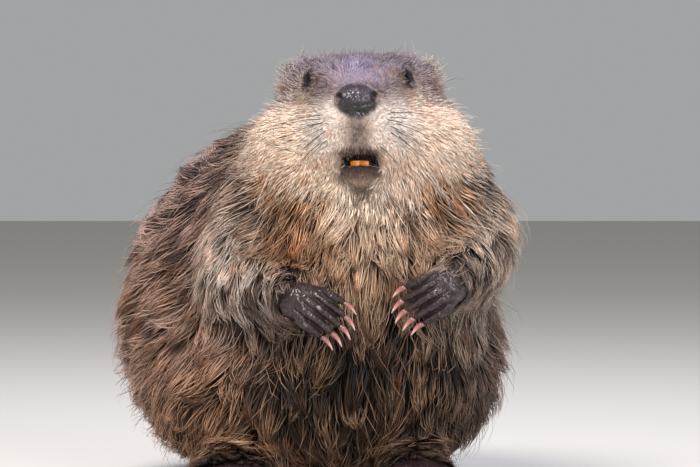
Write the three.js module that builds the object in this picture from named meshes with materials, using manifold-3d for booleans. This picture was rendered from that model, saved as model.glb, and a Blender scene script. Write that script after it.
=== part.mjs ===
// A beaver sitting up on its haunches with its forepaws before its chest, at life size.
// Millimetres, +Z up. The face looks along -Y, and +X is the animal's left-hand side.
// The floor is Z = 0. The whole animal is moved at the end, so that the origin lies on the
// floor under the middle of its box. The chest and head face straight ahead, and the hips are
// turned, so the rump lies back towards -X.
//
// The flesh is one smooth field of blended lumps, out to the tips of the coat. It is drawn as a
// surface and parted with thin cuts. Paws, feet, claws, ears, eyes, teeth, nose and tail are
// pieces of their own.
import * as THREE from "three";
import { mergeVertices } from "three/addons/utils/BufferGeometryUtils.js";
import Module from "manifold-3d";

const wasm = await Module();
wasm.setup();

const vec = (x, y, z) => new THREE.Vector3(x, y, z);
const rad = THREE.MathUtils.degToRad;

// ---- driving dimensions ----
const GAP = 0.35; // between neighbouring pieces
const CROWN_Z = 385; // top of the head, coat included
const EYE_APART = 77; // between the middles of the two eyes
const EYE_Z = 361;
const EYE_Y = -86;
const EYE_R = 6.4;
const NOSE = { x: 0, y: -138, z: 344, wide: 38, tall: 30, deep: 25 };
const MOUTH = { y: -128, z: 288, wide: 34, tall: 15 };
const TOOTH = { wide: 8.2, long: 20, thick: 4.2 };
const EAR = { x: 57, y: -9, z: 369, tall: 33, wide: 28, thick: 10 };
const HIPS = { x: -46, y: 92, yaw: rad(22) }; // middle of the hips, and their turn from the chest
const TAIL = { long: 262, wide: 126, thick: 19, yaw: rad(1) }; // the scaly paddle
const FOOT = { sole: 88, web: 4 }; // hind foot: from heel to toe roots, and the web's thickness
const HIND_CLAW = 19;
const FORE_CLAW = 17;
const CLAW_ROOT = 1.5; // how far past the middle of a finger or toe tip its claw begins

// The right arm hangs a little lower than the left one. reach is the way its fingers point.
const ARMS = {
  right: {
    side: -1,
    shoulder: vec(-88, -16, 246),
    elbow: vec(-106, -56, 184),
    wrist: vec(-60, -118, 172),
    palm: vec(-43, -134, 167),
    reach: vec(0.71, 0, -0.71),
  },
  left: {
    side: 1,
    shoulder: vec(86, -16, 254),
    elbow: vec(104, -50, 210),
    wrist: vec(79, -118, 185),
    palm: vec(66, -134, 177),
    reach: vec(-0.79, 0, -0.61),
  },
};
const FEET = {
  right: { side: -1, heel: vec(-98, 20, 0), yaw: rad(-11) },
  left: { side: 1, heel: vec(44, 8, 0), yaw: rad(8) },
};

// Grid steps of the drawn surface: fine on the head, coarse on the trunk.
const HEAD_STEP = 16.8;
const NECK_STEP = 31;
const ARM_STEP = 20;
const TRUNK_STEP = 34;

// ---- fields: each gives the distance from a point to a shape, below 0 inside ----

// A lump with three radii. square 2 is an ellipsoid, and more makes it boxier.
function lump(at, radii, { yaw = 0, pitch = 0, roll = 0, square = 2 } = {}) {
  const turn = new THREE.Euler(pitch, roll, yaw, "ZYX");
  const inverse = new THREE.Matrix4().makeRotationFromEuler(turn).setPosition(at).invert();
  const q = vec(0, 0, 0);
  return (p) => {
    q.copy(p).applyMatrix4(inverse);
    let sum = 0;
    let slope = 0;
    for (const axis of ["x", "y", "z"]) {
      const share = Math.abs(q[axis]) / radii[axis];
      const power = share ** (square - 1);
      sum += power * share;
      slope += (power / radii[axis]) ** 2;
    }
    const level = Math.max(sum, 1e-9) ** (1 / square);
    return (level - 1) / (level ** (1 - square) * Math.sqrt(slope) + 1e-9);
  };
}

// A round bone of flesh from one point to another, with a radius at each end.
function bone(from, to, fromRadius, toRadius) {
  const along = to.clone().sub(from);
  const q = vec(0, 0, 0);
  return (p) => {
    q.copy(p).sub(from);
    const share = THREE.MathUtils.clamp(q.dot(along) / along.lengthSq(), 0, 1);
    return q.addScaledVector(along, -share).length() - THREE.MathUtils.lerp(fromRadius, toRadius, share);
  };
}

// Shapes in one, with soft fillets of about the given width between them.
function blend(width, ...fields) {
  return (p) =>
    fields.slice(1).reduce((near, field) => {
      const next = field(p);
      const overlap = Math.max(width - Math.abs(near - next), 0) / width;
      return Math.min(near, next) - (overlap * overlap * width) / 4;
    }, fields[0](p));
}

// The same field in a moved and turned frame.
function placed(field, matrix) {
  const inverse = matrix.clone().invert();
  const q = vec(0, 0, 0);
  return (p) => field(q.copy(p).applyMatrix4(inverse));
}

function pair(make) {
  return [make(-1), make(1)];
}

// ---- surfaces ----

// The field inside a box as a closed surface: one vertex in each grid cell that the surface
// crosses, and a quad round each crossed edge.
function surfaceOf(field, low, high, step) {
  const count = high.clone().sub(low).divideScalar(step).ceil().addScalar(3);
  const [nx, ny, nz] = count.toArray();
  const at = (i, j, k) => (k * ny + j) * nx + i;
  const corner = (i, j, k) => vec(i, j, k).subScalar(1).multiplyScalar(step).add(low);
  const value = new Float64Array(nx * ny * nz).fill(step);
  for (let k = 1; k < nz - 1; k++)
    for (let j = 1; j < ny - 1; j++)
      for (let i = 1; i < nx - 1; i++) value[at(i, j, k)] = field(corner(i, j, k)) || 1e-6;

  const positions = [];
  const vertexOf = new Map();
  for (let k = 0; k < nz - 1; k++)
    for (let j = 0; j < ny - 1; j++)
      for (let i = 0; i < nx - 1; i++) {
        const p = crossing(i, j, k, value, at);
        if (!p) continue;
        p.subScalar(1).multiplyScalar(step).add(low);
        settle(p, field, corner(i, j, k), step);
        vertexOf.set(at(i, j, k), positions.length / 3);
        positions.push(p.x, p.y, p.z);
      }

  const index = [];
  const axes = [vec(1, 0, 0), vec(0, 1, 0), vec(0, 0, 1)];
  for (let k = 0; k < nz - 1; k++)
    for (let j = 0; j < ny - 1; j++)
      for (let i = 0; i < nx - 1; i++)
        axes.forEach((along, n) => {
          const here = value[at(i, j, k)] < 0;
          const there = value[at(i + along.x, j + along.y, k + along.z)] < 0;
          if (here === there) return;
          const u = axes[(n + 1) % 3];
          const w = axes[(n + 2) % 3];
          const cell = (a, b) =>
            vertexOf.get(at(i - a * u.x - b * w.x, j - a * u.y - b * w.y, k - a * u.z - b * w.z));
          const ring = [cell(0, 0), cell(1, 0), cell(1, 1), cell(0, 1)];
          index.push(...splitAcross(here ? ring : ring.reverse(), positions));
        });
  return geometryFrom(positions, index);
}

// Moves a point onto the surface of a field, but not out of its grid cell.
function settle(p, field, cell, step) {
  const probe = step / 100;
  const here = field(p);
  const slope = ["x", "y", "z"].map((axis) => {
    const beside = p.clone();
    beside[axis] += probe;
    return (field(beside) - here) / probe;
  });
  p.addScaledVector(vec(...slope), -here / Math.max(vec(...slope).lengthSq(), 0.2));
  p.clamp(cell, cell.clone().addScalar(step));
}

// The mean of the places where the surface crosses the edges of one grid cell.
function crossing(i, j, k, value, at) {
  const sum = vec(0, 0, 0);
  let crossed = 0;
  for (let n = 0; n < 3; n++)
    for (let m = 0; m < 4; m++) {
      const from = [0, 0, 0];
      from[(n + 1) % 3] = m & 1;
      from[(n + 2) % 3] = m >> 1;
      const to = [...from];
      to[n] = 1;
      const a = value[at(i + from[0], j + from[1], k + from[2])];
      const b = value[at(i + to[0], j + to[1], k + to[2])];
      if (a < 0 === b < 0) continue;
      const share = a / (a - b);
      const place = vec(i + from[0], j + from[1], k + from[2]);
      place.setComponent(n, place.getComponent(n) + share);
      sum.add(place);
      crossed++;
    }
  return crossed ? sum.divideScalar(crossed) : null;
}

// Two triangles of a four-cornered ring, split along its shorter diagonal.
function splitAcross([a, b, c, d], positions) {
  const corner = (n) => vec(...positions.slice(3 * n, 3 * n + 3));
  const shorter = corner(a).distanceTo(corner(c)) <= corner(b).distanceTo(corner(d));
  return shorter ? [a, b, c, a, c, d] : [b, c, d, b, d, a];
}

function geometryFrom(positions, index) {
  const made = new THREE.BufferGeometry();
  made.setAttribute("position", new THREE.Float32BufferAttribute(positions, 3));
  made.setIndex(index);
  return made;
}

// A limb along a smooth curve through stations of { at, wide, thick }, with round ends.
// wide and thick are half sizes of its section, and thick is measured towards up.
function limb(stations, { sides = 10, rings = 8, up = vec(0, 0, 1), ends = 2, grow = 0 } = {}) {
  const curve = new THREE.CatmullRomCurve3(stations.map((s) => s.at));
  const sizeAt = (t) => {
    const place = t * (stations.length - 1);
    const n = Math.min(Math.floor(place), stations.length - 2);
    const ease = THREE.MathUtils.smoothstep(place - n, 0, 1);
    return ["wide", "thick"].map((key) =>
      THREE.MathUtils.lerp(stations[n][key], stations[n + 1][key], ease) + grow);
  };
  const section = (t, along, shrink) => {
    const tangent = curve.getTangent(t);
    const side = vec(0, 0, 0).crossVectors(tangent, up).normalize();
    const top = vec(0, 0, 0).crossVectors(side, tangent);
    const [wide, thick] = sizeAt(t);
    const middle = curve.getPoint(t).addScaledVector(tangent, along * Math.min(wide, thick));
    side.multiplyScalar(wide * shrink);
    top.multiplyScalar(thick * shrink);
    return { middle, side, top };
  };
  const roundEnd = (e) => ((e + 1) / (ends + 1)) * (Math.PI / 2);
  const sections = [];
  const endSection = (t, sign, e) => section(t, sign * Math.cos(roundEnd(e)), Math.sin(roundEnd(e)));
  for (let e = 0; e < ends; e++) sections.push(endSection(0, -1, e));
  for (let r = 0; r <= rings; r++) sections.push(section(r / rings, 0, 1));
  for (let e = ends - 1; e >= 0; e--) sections.push(endSection(1, 1, e));

  const positions = [];
  for (const { middle, side, top } of sections)
    for (let n = 0; n < sides; n++) {
      const angle = (n / sides) * 2 * Math.PI;
      const p = middle.clone().addScaledVector(side, Math.cos(angle)).addScaledVector(top, Math.sin(angle));
      positions.push(p.x, p.y, p.z);
    }
  const poles = positions.length / 3;
  positions.push(...section(0, -1, 0).middle.toArray(), ...section(1, 1, 0).middle.toArray());
  const index = [];
  const last = (sections.length - 1) * sides;
  for (let n = 0; n < sides; n++) {
    const m = (n + 1) % sides;
    index.push(poles, n, m, poles + 1, last + m, last + n);
    for (let a = 0; a < last; a += sides)
      index.push(a + n, a + sides + n, a + m, a + m, a + sides + n, a + sides + m);
  }
  return solid(geometryFrom(positions, index));
}

// ---- solids ----

// A closed geometry as a solid that can be joined and cut.
function solid(geometry) {
  const bare = geometry.clone();
  for (const name of ["normal", "uv"]) bare.deleteAttribute(name);
  const merged = mergeVertices(bare, 1e-4);
  const triVerts = new Uint32Array(merged.index.array);
  const vertProperties = new Float32Array(merged.attributes.position.array);
  const made = new wasm.Manifold(new wasm.Mesh({ numProp: 3, vertProperties, triVerts }));
  if (made.volume() > 0) return made;
  const turned = triVerts.map((_, i) => triVerts[i - (i % 3) + (2 - (i % 3))]);
  return new wasm.Manifold(new wasm.Mesh({ numProp: 3, vertProperties, triVerts: turned }));
}

// The largest body of a solid, without the crumbs that a cut can leave.
function largest(made) {
  return made.decompose().sort((a, b) => b.volume() - a.volume())[0];
}

function join(...solids) {
  return solids.reduce((all, next) => all.add(next));
}

function cutBy(made, ...tools) {
  return tools.reduce((left, tool) => left.subtract(tool), made);
}

// A large block that fills the side of a plane that the normal points to.
function beyond(point, normal, shift = GAP / 2) {
  const size = 1500;
  const turn = new THREE.Quaternion().setFromUnitVectors(vec(0, 0, 1), normal.clone().normalize());
  const block = new THREE.BoxGeometry(size, size, size);
  block.translate(0, 0, size / 2 + shift);
  block.applyQuaternion(turn);
  block.translate(point.x, point.y, point.z);
  return solid(block);
}

const FLOOR = beyond(vec(0, 0, 0), vec(0, 0, -1), 0);

// An egg-shaped solid with three radii.
function ball(at, radii, { yaw = 0, pitch = 0, roll = 0, grow = 0, detail = 16 } = {}) {
  const made = new THREE.SphereGeometry(1, detail, Math.round(detail / 2));
  made.scale(radii.x + grow, radii.y + grow, radii.z + grow);
  made.applyQuaternion(new THREE.Quaternion().setFromEuler(new THREE.Euler(pitch, roll, yaw, "ZYX")));
  made.translate(at.x, at.y, at.z);
  return solid(made);
}

function turnedBy(made, matrix) {
  const geometry = geometryOf(made);
  geometry.applyMatrix4(matrix);
  return solid(geometry);
}

function geometryOf(made) {
  const { vertProperties, triVerts } = made.getMesh();
  return geometryFrom(Array.from(vertProperties), Array.from(triVerts));
}

// ---- the body field ----

// The head's own frame is upright and even. This tips it a little, about the neck.
const HEAD_PIVOT = vec(0, -30, 310);
const HEAD_POSE = new THREE.Matrix4()
  .makeTranslation(HEAD_PIVOT)
  .multiply(new THREE.Matrix4().makeRotationFromEuler(new THREE.Euler(0, rad(-1.5), rad(-1.5))))
  .multiply(new THREE.Matrix4().makeTranslation(HEAD_PIVOT.clone().negate()));

function headField() {
  const cranium = lump(vec(0, -20, CROWN_Z - 48), vec(69, 58, 48), { square: 2.5 });
  const brow = lump(vec(0, -76, 352), vec(41, 36, 24), { square: 2.3 });
  const bridge = lump(vec(0, -106, 343), vec(31, 38, 21), { square: 2.2 });
  const snout = lump(vec(0, -108, 322), vec(40, 38, 34), { square: 2.2 });
  const lips = pair((s) => lump(vec(s * 19, -121, 311), vec(24, 24, 23)));
  const jowls = pair((s) => lump(vec(s * 38, -90, 303), vec(32, 38, 33)));
  const cheeks = pair((s) => lump(vec(s * 56, -54, 298), vec(46, 50, 46)));
  const chin = lump(vec(0, -103, 275), vec(32, 31, 22));
  const muzzle = blend(14, bridge, snout, ...lips, chin);
  return blend(26, blend(24, cranium, ...cheeks), brow, muzzle, ...jowls);
}

// A place in the turned hips: side is to the animal's left, and back is towards the tail.
function hip(side, back, z) {
  const cos = Math.cos(HIPS.yaw);
  const sin = Math.sin(HIPS.yaw);
  return vec(HIPS.x + side * cos - back * sin, HIPS.y + side * sin + back * cos, z);
}

const TAIL_ROOT = { from: hip(0, 108, 82), at: hip(0, 212, 30) };
const TURNED = { yaw: HIPS.yaw };
const HALF_TURNED = { yaw: HIPS.yaw / 2 };
const THIGHS = {
  right: { at: hip(-102, -30, 98), radii: vec(54, 92, 82) },
  left: { at: hip(108, -34, 104), radii: vec(53, 92, 90) },
};

function torsoField() {
  const throat = lump(vec(0, -68, 258), vec(84, 52, 44));
  const neck = lump(vec(2, -12, 284), vec(100, 74, 62), { pitch: rad(-20) });
  const nape = lump(vec(-14, 46, 268), vec(94, 94, 79), { pitch: rad(-12) });
  const chest = lump(vec(0, -22, 206), vec(112, 90, 88), HALF_TURNED);
  const back = lump(hip(-10, 22, 204), vec(126, 132, 118), TURNED);
  const belly = lump(hip(16, -42, 116), vec(128, 146, 116), TURNED);
  const rump = lump(hip(-8, 56, 130), vec(146, 124, 126), TURNED);
  const thighs = Object.values(THIGHS).map(({ at, radii }) => lump(at, radii, TURNED));
  const upperArms = Object.values(ARMS).map(({ shoulder, elbow }) => bone(shoulder, elbow, 43, 33));
  const tailRoot = bone(TAIL_ROOT.from, TAIL_ROOT.at, 54, 29);
  const trunk = blend(36, blend(46, rump, back, belly, chest, nape), tailRoot);
  const head = placed(headField(), HEAD_POSE);
  return blend(28, blend(30, trunk, ...thighs, ...upperArms), blend(30, neck, throat), head);
}

const torso = torsoField();
const LOW = vec(-260, -200, -60);
const HIGH = vec(190, 330, 410);

// ---- pieces ----

const parts = [];
const FINISH = {
  coat: { color: 0x7a5a40, roughness: 0.9 },
  face: { color: 0xcdb69c, roughness: 0.9 },
  leather: { color: 0x2e2930, roughness: 0.6 },
  scales: { color: 0x3b3634, roughness: 0.55 },
  claw: { color: 0xb88a80, roughness: 0.4 },
  eye: { color: 0x120c0a, roughness: 0.1 },
  enamel: { color: 0xd6780c, roughness: 0.3 },
};

function part(name, made, finish) {
  const material = new THREE.MeshStandardMaterial({ ...FINISH[finish], metalness: 0 });
  const mesh = new THREE.Mesh(geometryOf(largest(made)), material);
  mesh.name = name;
  parts.push(mesh);
}

// The planes that part the head from the neck, and the neck from the trunk.
const HEAD_CUT = { point: vec(0, -45, 308), normal: vec(0, -0.7, 0.715) };
const NECK_CUT = { point: vec(0, -30, 276), normal: vec(-0.05, -0.5, 0.86) };
const MOUTH_CUT = { point: vec(0, MOUTH.y, MOUTH.z - 3), normal: vec(0, 0.1, -1) };

const JAW = { at: vec(0, -106, 270), radii: vec(42, 60, 32) };

const flip = ({ point, normal }) => ({ point, normal: normal.clone().negate() });
const side = ({ point, normal }) => beyond(point, normal);

// A ball of one eye, in the place where its lids will lie round it.
function eyeBall(s, grow = 0) {
  const at = vec((s * EYE_APART) / 2, EYE_Y, EYE_Z).applyMatrix4(HEAD_POSE);
  return ball(at, vec(EYE_R, EYE_R, EYE_R), { grow, detail: 10 });
}

// The nose pad: a broad leathery pad with two nostrils that open forward and outward.
function nosePad(grow = 0) {
  const at = vec(NOSE.x, NOSE.y, NOSE.z);
  const pad = ball(at, vec(NOSE.wide / 2, NOSE.deep / 2, NOSE.tall / 2), { grow, detail: 10 });
  const philtrum = ball(vec(at.x, at.y, at.z - NOSE.tall / 2), vec(8, 9, 12), { grow, detail: 6 });
  const made = turnedBy(join(pad, philtrum), HEAD_POSE);
  if (grow) return made;
  const nostrils = pair((s) =>
    ball(vec(at.x + s * 16, at.y - 7, at.z + 1), vec(4.5, 7, 4), { roll: s * rad(25), detail: 6 }));
  return cutBy(made, ...nostrils.map((hole) => turnedBy(hole, HEAD_POSE)));
}

function mouthHollow() {
  const hollow = ball(vec(0, MOUTH.y, MOUTH.z), vec(MOUTH.wide / 2, 24, MOUTH.tall / 2), { detail: 10 });
  return turnedBy(hollow, HEAD_POSE);
}

// One upper incisor: a curved orange chisel.
function incisor(s, grow = 0) {
  const edge = MOUTH.z + 1;
  const x = s * (TOOTH.wide / 2 + GAP / 2);
  const stations = [
    { at: vec(x, -130, edge), wide: TOOTH.wide / 2, thick: TOOTH.thick / 2 },
    { at: vec(x, -132, edge + TOOTH.long / 2), wide: TOOTH.wide / 2, thick: TOOTH.thick / 2 },
    { at: vec(x, -127, edge + TOOTH.long), wide: TOOTH.wide / 2, thick: TOOTH.thick / 2 },
  ];
  const tooth = limb(stations, { sides: 8, rings: 2, up: vec(0, -1, 0), ends: 0, grow });
  return turnedBy(tooth, HEAD_POSE);
}

// An ear: a small round dish that faces forward and outward.
function ear(s, grow = 0) {
  const at = vec(s * EAR.x, EAR.y, EAR.z);
  const turn = { yaw: s * rad(38), roll: s * rad(24), pitch: rad(-8) };
  const shell = ball(at, vec(EAR.wide / 2, EAR.thick / 2, EAR.tall / 2), { ...turn, grow, detail: 9 });
  if (grow) return turnedBy(shell, HEAD_POSE);
  const facing = new THREE.Euler(turn.pitch, turn.roll, turn.yaw, "ZYX");
  const ahead = vec(0, -EAR.thick * 0.62, 3).applyEuler(facing);
  const dish = vec(EAR.wide * 0.36, EAR.thick / 2, EAR.tall * 0.38);
  return turnedBy(shell.subtract(ball(at.add(ahead), dish, { ...turn, detail: 8 })), HEAD_POSE);
}

function headParts() {
  const low = vec(-130, -180, 225);
  const fine = solid(surfaceOf(torso, low, vec(130, 60, 400), HEAD_STEP)).intersect(side(HEAD_CUT));
  const sides = pair((s) => join(eyeBall(s, GAP), ear(s, GAP), incisor(s, GAP)));
  const face = cutBy(fine, mouthHollow(), nosePad(GAP), ...sides);
  const below = (grow) => beyond(MOUTH_CUT.point, MOUTH_CUT.normal, -grow);
  const jaw = (grow) => ball(JAW.at, JAW.radii, { grow, detail: 9 }).intersect(below(grow));
  part("head", face.subtract(jaw(GAP / 2)), "face");
  part("lower_jaw", face.intersect(jaw(-GAP / 2)), "face");
  part("nose", nosePad(), "leather");
  for (const [name, { side: s }] of Object.entries(ARMS)) {
    part(`eye_${name}`, eyeBall(s), "eye");
    part(`ear_${name}`, ear(s), "coat");
    part(`incisor_${name}`, incisor(s), "enamel");
  }
}

function neckPart() {
  const made = solid(surfaceOf(torso, vec(-170, -150, 180), vec(150, 130, 400), NECK_STEP));
  part("neck", made.intersect(side(NECK_CUT)).intersect(side(flip(HEAD_CUT))), "coat");
}

// The forearm's own field joins the upper arm, and the wrist plane ends it.
function armParts(name, { shoulder, elbow, wrist, palm }) {
  const field = blend(14, torso, bone(elbow, wrist, 33, 22));
  const station = (at, size) => ({ at, wide: size, thick: size });
  const length = (from, to, grow) => limb([from, to], { sides: 6, rings: 1, ends: 1, grow });
  const region = (grow) =>
    join(
      length(station(shoulder, 44), station(elbow, 39), grow),
      length(station(elbow, 39), station(wrist, 28), grow),
    );
  const low = wrist.clone().min(elbow).min(shoulder).subScalar(60);
  const high = wrist.clone().max(elbow).max(shoulder).addScalar(60);
  const flesh = solid(surfaceOf(field, low, high, ARM_STEP)).intersect(side(flip(NECK_CUT)));
  const arm = flesh.intersect(region(-GAP));
  const elbowCut = { point: elbow, normal: wrist.clone().sub(shoulder) };
  const wristCut = { point: wrist, normal: palm.clone().sub(elbow) };
  part(`upper_arm_${name}`, arm.intersect(side(flip(elbowCut))), "coat");
  part(`forearm_${name}`, arm.intersect(side(elbowCut)).intersect(side(flip(wristCut))), "coat");
  return region(GAP);
}

// The forepaw's five fingers lie side by side over the palm. Each is set by two places, its root
// and its tip: across the palm from the innermost finger, and ahead of the palm's middle.
const FINGERS = [
  { across: [-16.5, -20.5], ahead: [0, 15] },
  { across: [-10.5, -13], ahead: [-5, 23.5] },
  { across: [-2, -4.5], ahead: [-7.5, 26.5] },
  { across: [7.5, 5], ahead: [-6, 25.5] },
  { across: [16.5, 13.5], ahead: [0, 22] },
];
const KNUCKLE_RISE = 9; // how far the middle of a finger stands out from its ends

function forepaw(name, { side: s, elbow, wrist, palm, reach }) {
  const wristCut = { point: wrist, normal: palm.clone().sub(elbow) };
  const sideways = vec(-s * reach.z, 0, s * reach.x);
  const heel = { at: wrist.clone().lerp(palm, -0.6), wide: 18, thick: 15 };
  const front = { at: palm, wide: 19, thick: 12 };
  const hand = limb([heel, front], { sides: 8, rings: 1, ends: 2, up: vec(0, -1, 0.3) });
  const places = FINGERS.map(({ across, ahead }) => {
    const [root, tip] = [0, 1].map((n) =>
      palm.clone().addScaledVector(sideways, across[n]).addScaledVector(reach, ahead[n]));
    const knuckle = root.clone().lerp(tip, 0.45).add(vec(0, -KNUCKLE_RISE, 0));
    return { root, knuckle, tip, along: tip.clone().sub(root).normalize() };
  });
  const finger = ({ root, knuckle, tip }) => {
    const stations = [
      { at: root, wide: 5, thick: 6 },
      { at: knuckle, wide: 5.4, thick: 5.6 },
      { at: tip, wide: 4.3, thick: 4.4 },
    ];
    return limb(stations, { sides: 5, rings: 2, ends: 1, up: vec(0, -1, 0) });
  };
  const paw = join(hand, ...places.map(finger)).intersect(side(wristCut));
  part(`forepaw_${name}`, paw, "leather");
  places.forEach(({ tip, along }, n) => {
    const made = claw(tip, along.clone().add(vec(0, 0.35, -0.15)), FORE_CLAW, 2.7, { digit: paw });
    part(`fore_claw_${name}_${n + 1}`, made, "claw");
  });
}

// A curved, tapered claw with a hollow base that sits just clear of the finger or toe it grows from.
function claw(tip, ahead, long, size, { digit, up = vec(0, -1, 0.2) }) {
  const forward = ahead.clone().normalize();
  const at = (far, drop) => tip.clone().addScaledVector(forward, far).add(vec(0, 0, -drop));
  const stations = [
    { at: at(size + CLAW_ROOT, 0), wide: size * 0.8, thick: size },
    { at: at(long * 0.6, 0.3), wide: size * 0.72, thick: size * 0.8 },
    { at: at(long, long * 0.16), wide: size * 0.26, thick: size * 0.28 },
  ];
  const whole = limb(stations, { sides: 4, rings: 2, ends: 0, up });
  const clear = forward.clone().multiplyScalar(GAP);
  return turnedBy(largest(whole.subtract(digit)), new THREE.Matrix4().makeTranslation(clear));
}

// A hind foot flat on the floor: heel, sole, and five toes joined by a web, in its own frame
// with the heel at the origin and the toes towards -Y.
const TOES = [
  { turn: rad(27), long: 60, size: 6.5 },
  { turn: rad(14), long: 76, size: 8 },
  { turn: rad(0), long: 80, size: 8.5 },
  { turn: rad(-13), long: 76, size: 8.5 },
  { turn: rad(-26), long: 64, size: 7.5 },
];

function toePlace({ turn, long }, share, z) {
  const root = vec(Math.sin(turn) * 30, -FOOT.sole + 22, z);
  return root.add(vec(Math.sin(turn), -Math.cos(turn), 0).multiplyScalar(18 + long * share));
}

function footWeb() {
  const tips = TOES.map((toe) => toePlace(toe, 0.94, 0));
  const outline = new THREE.Shape();
  outline.moveTo(0, -FOOT.sole + 30);
  outline.lineTo(tips[0].x, tips[0].y);
  for (let n = 1; n < tips.length; n++) {
    const valley = toePlace({ turn: (TOES[n].turn + TOES[n - 1].turn) / 2, long: 62 }, 0.86, 0);
    outline.quadraticCurveTo(valley.x, valley.y, tips[n].x, tips[n].y);
  }
  outline.closePath();
  const options = { depth: FOOT.web, bevelEnabled: false, curveSegments: 2 };
  return solid(new THREE.ExtrudeGeometry(outline, options));
}

function hindFoot(name, { side: s, heel, yaw }) {
  const station = (x, y, z, wide, thick) => ({ at: vec(x, y, z), wide, thick });
  const soleEnd = -FOOT.sole;
  const sole = limb(
    [station(0, 12, 20, 17, 21), station(0, soleEnd / 2, 17, 24, 18), station(0, soleEnd, 11, 36, 12)],
    { sides: 8, rings: 2, ends: 1 },
  );
  const toe = (t) =>
    limb(
      [0, 0.45, 1].map((share, n) => ({
        at: toePlace(t, share, [10, 10, 5][n]),
        wide: t.size * [1.1, 1, 0.72][n],
        thick: t.size * [1.1, 0.95, 0.6][n],
      })),
      { sides: 5, rings: 2, ends: 1 },
    );
  const pose = new THREE.Matrix4()
    .makeTranslation(heel)
    .multiply(new THREE.Matrix4().makeRotationZ(yaw))
    .multiply(new THREE.Matrix4().makeScale(s, 1, 1));
  const foot = join(sole, footWeb(), ...TOES.map(toe)).subtract(FLOOR);
  part(`hind_foot_${name}`, turnedBy(foot, pose), "leather");
  TOES.forEach((t, n) => {
    const ahead = vec(Math.sin(t.turn), -Math.cos(t.turn), 0);
    const made = claw(toePlace(t, 1, 5.4), ahead, HIND_CLAW, 3.4, { digit: foot, up: vec(0, 0, 1) });
    part(`hind_claw_${name}_${n + 1}`, turnedBy(made, pose), "claw");
  });
  const room = limb(
    [station(0, 13, 20, 20, 25), station(0, soleEnd / 2, 18, 29, 22), station(0, soleEnd, 12, 44, 19)],
    { sides: 8, rings: 2, ends: 1 },
  );
  return turnedBy(room, pose);
}

// The tail: a broad flat scaly paddle on the floor, which leaves the furry root behind the rump.
function tailPaddle(grow = 0) {
  const away = vec(Math.sin(TAIL.yaw), Math.cos(TAIL.yaw), 0);
  const half = TAIL.wide / 2;
  const thick = TAIL.thick / 2;
  const station = (share, wide, deep) => ({
    at: TAIL_ROOT.at.clone().setZ(deep * 0.94).addScaledVector(away, TAIL.long * share),
    wide,
    thick: deep,
  });
  const stations = [
    station(-0.05, half * 0.44, thick * 2),
    station(0.15, half * 0.7, thick * 1.45),
    station(0.4, half * 0.97, thick),
    station(0.6, half, thick * 0.9),
    station(0.8, half * 0.86, thick * 0.7),
    station(0.95, half * 0.5, thick * 0.5),
  ];
  return limb(stations, { sides: 8, rings: 8, ends: 1, grow });
}

// A turned block of space that holds one thigh, or the root of the tail.
function hipBlock({ side: [left, right], back: [front, rear], z: [low, high] }, grow) {
  const sizes = [right - left, rear - front, high - low].map((size) => size + 2 * grow);
  const block = new THREE.BoxGeometry(...sizes);
  block.rotateZ(HIPS.yaw);
  const middle = hip((left + right) / 2, (front + rear) / 2, (low + high) / 2);
  return solid(block.translate(middle.x, middle.y, middle.z));
}

const HIP_BLOCKS = {
  thigh_right: { side: [-300, -64], back: [-200, 48], z: [-50, 160] },
  thigh_left: { side: [66, 300], back: [-200, 48], z: [-50, 160] },
  tail_root: { side: [-90, 90], back: [166, 330], z: [-50, 82] },
};

// The trunk, thighs and tail root come from one surface, round the rooms of the arms and feet.
function trunkParts(rooms) {
  const all = solid(surfaceOf(torso, LOW, HIGH, TRUNK_STEP));
  const free = cutBy(all.intersect(side(flip(NECK_CUT))), FLOOR, ...rooms);
  for (const [name, block] of Object.entries(HIP_BLOCKS)) {
    const made = free.intersect(hipBlock(block, -GAP / 2));
    part(name, name === "tail_root" ? made.subtract(tailPaddle(GAP)) : made, "coat");
  }
  part("trunk", cutBy(free, ...Object.values(HIP_BLOCKS).map((block) => hipBlock(block, GAP / 2))), "coat");
}

headParts();
neckPart();
const rooms = Object.entries(ARMS).map(([name, arm]) => armParts(name, arm));
for (const [name, arm] of Object.entries(ARMS)) forepaw(name, arm);
for (const [name, foot] of Object.entries(FEET)) rooms.push(hindFoot(name, foot));
part("tail", tailPaddle().subtract(FLOOR), "scales");
trunkParts(rooms);

const beaver = new THREE.Group();
beaver.name = "beaver";
parts.forEach((mesh) => beaver.add(mesh));
const middle = new THREE.Box3().setFromObject(beaver).getCenter(vec(0, 0, 0));
beaver.position.set(-middle.x, -middle.y, 0);
export default beaver;
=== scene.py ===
# %% [markdown]
# A life-size museum model of an adult beaver that sits up on its haunches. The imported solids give
# every size and place, out to the tips of the coat. Here they get one living skin, a coat of solid
# mesh tufts, eyes, claws and teeth. All lengths in the cells are millimetres in the animal's own
# frame: x from the middle of the head, y towards the tail, z above the floor.

# %% Load the solids
import math
from contextlib import contextmanager
import bpy
import numpy as np
from mathutils import Euler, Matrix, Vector, kdtree


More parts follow.
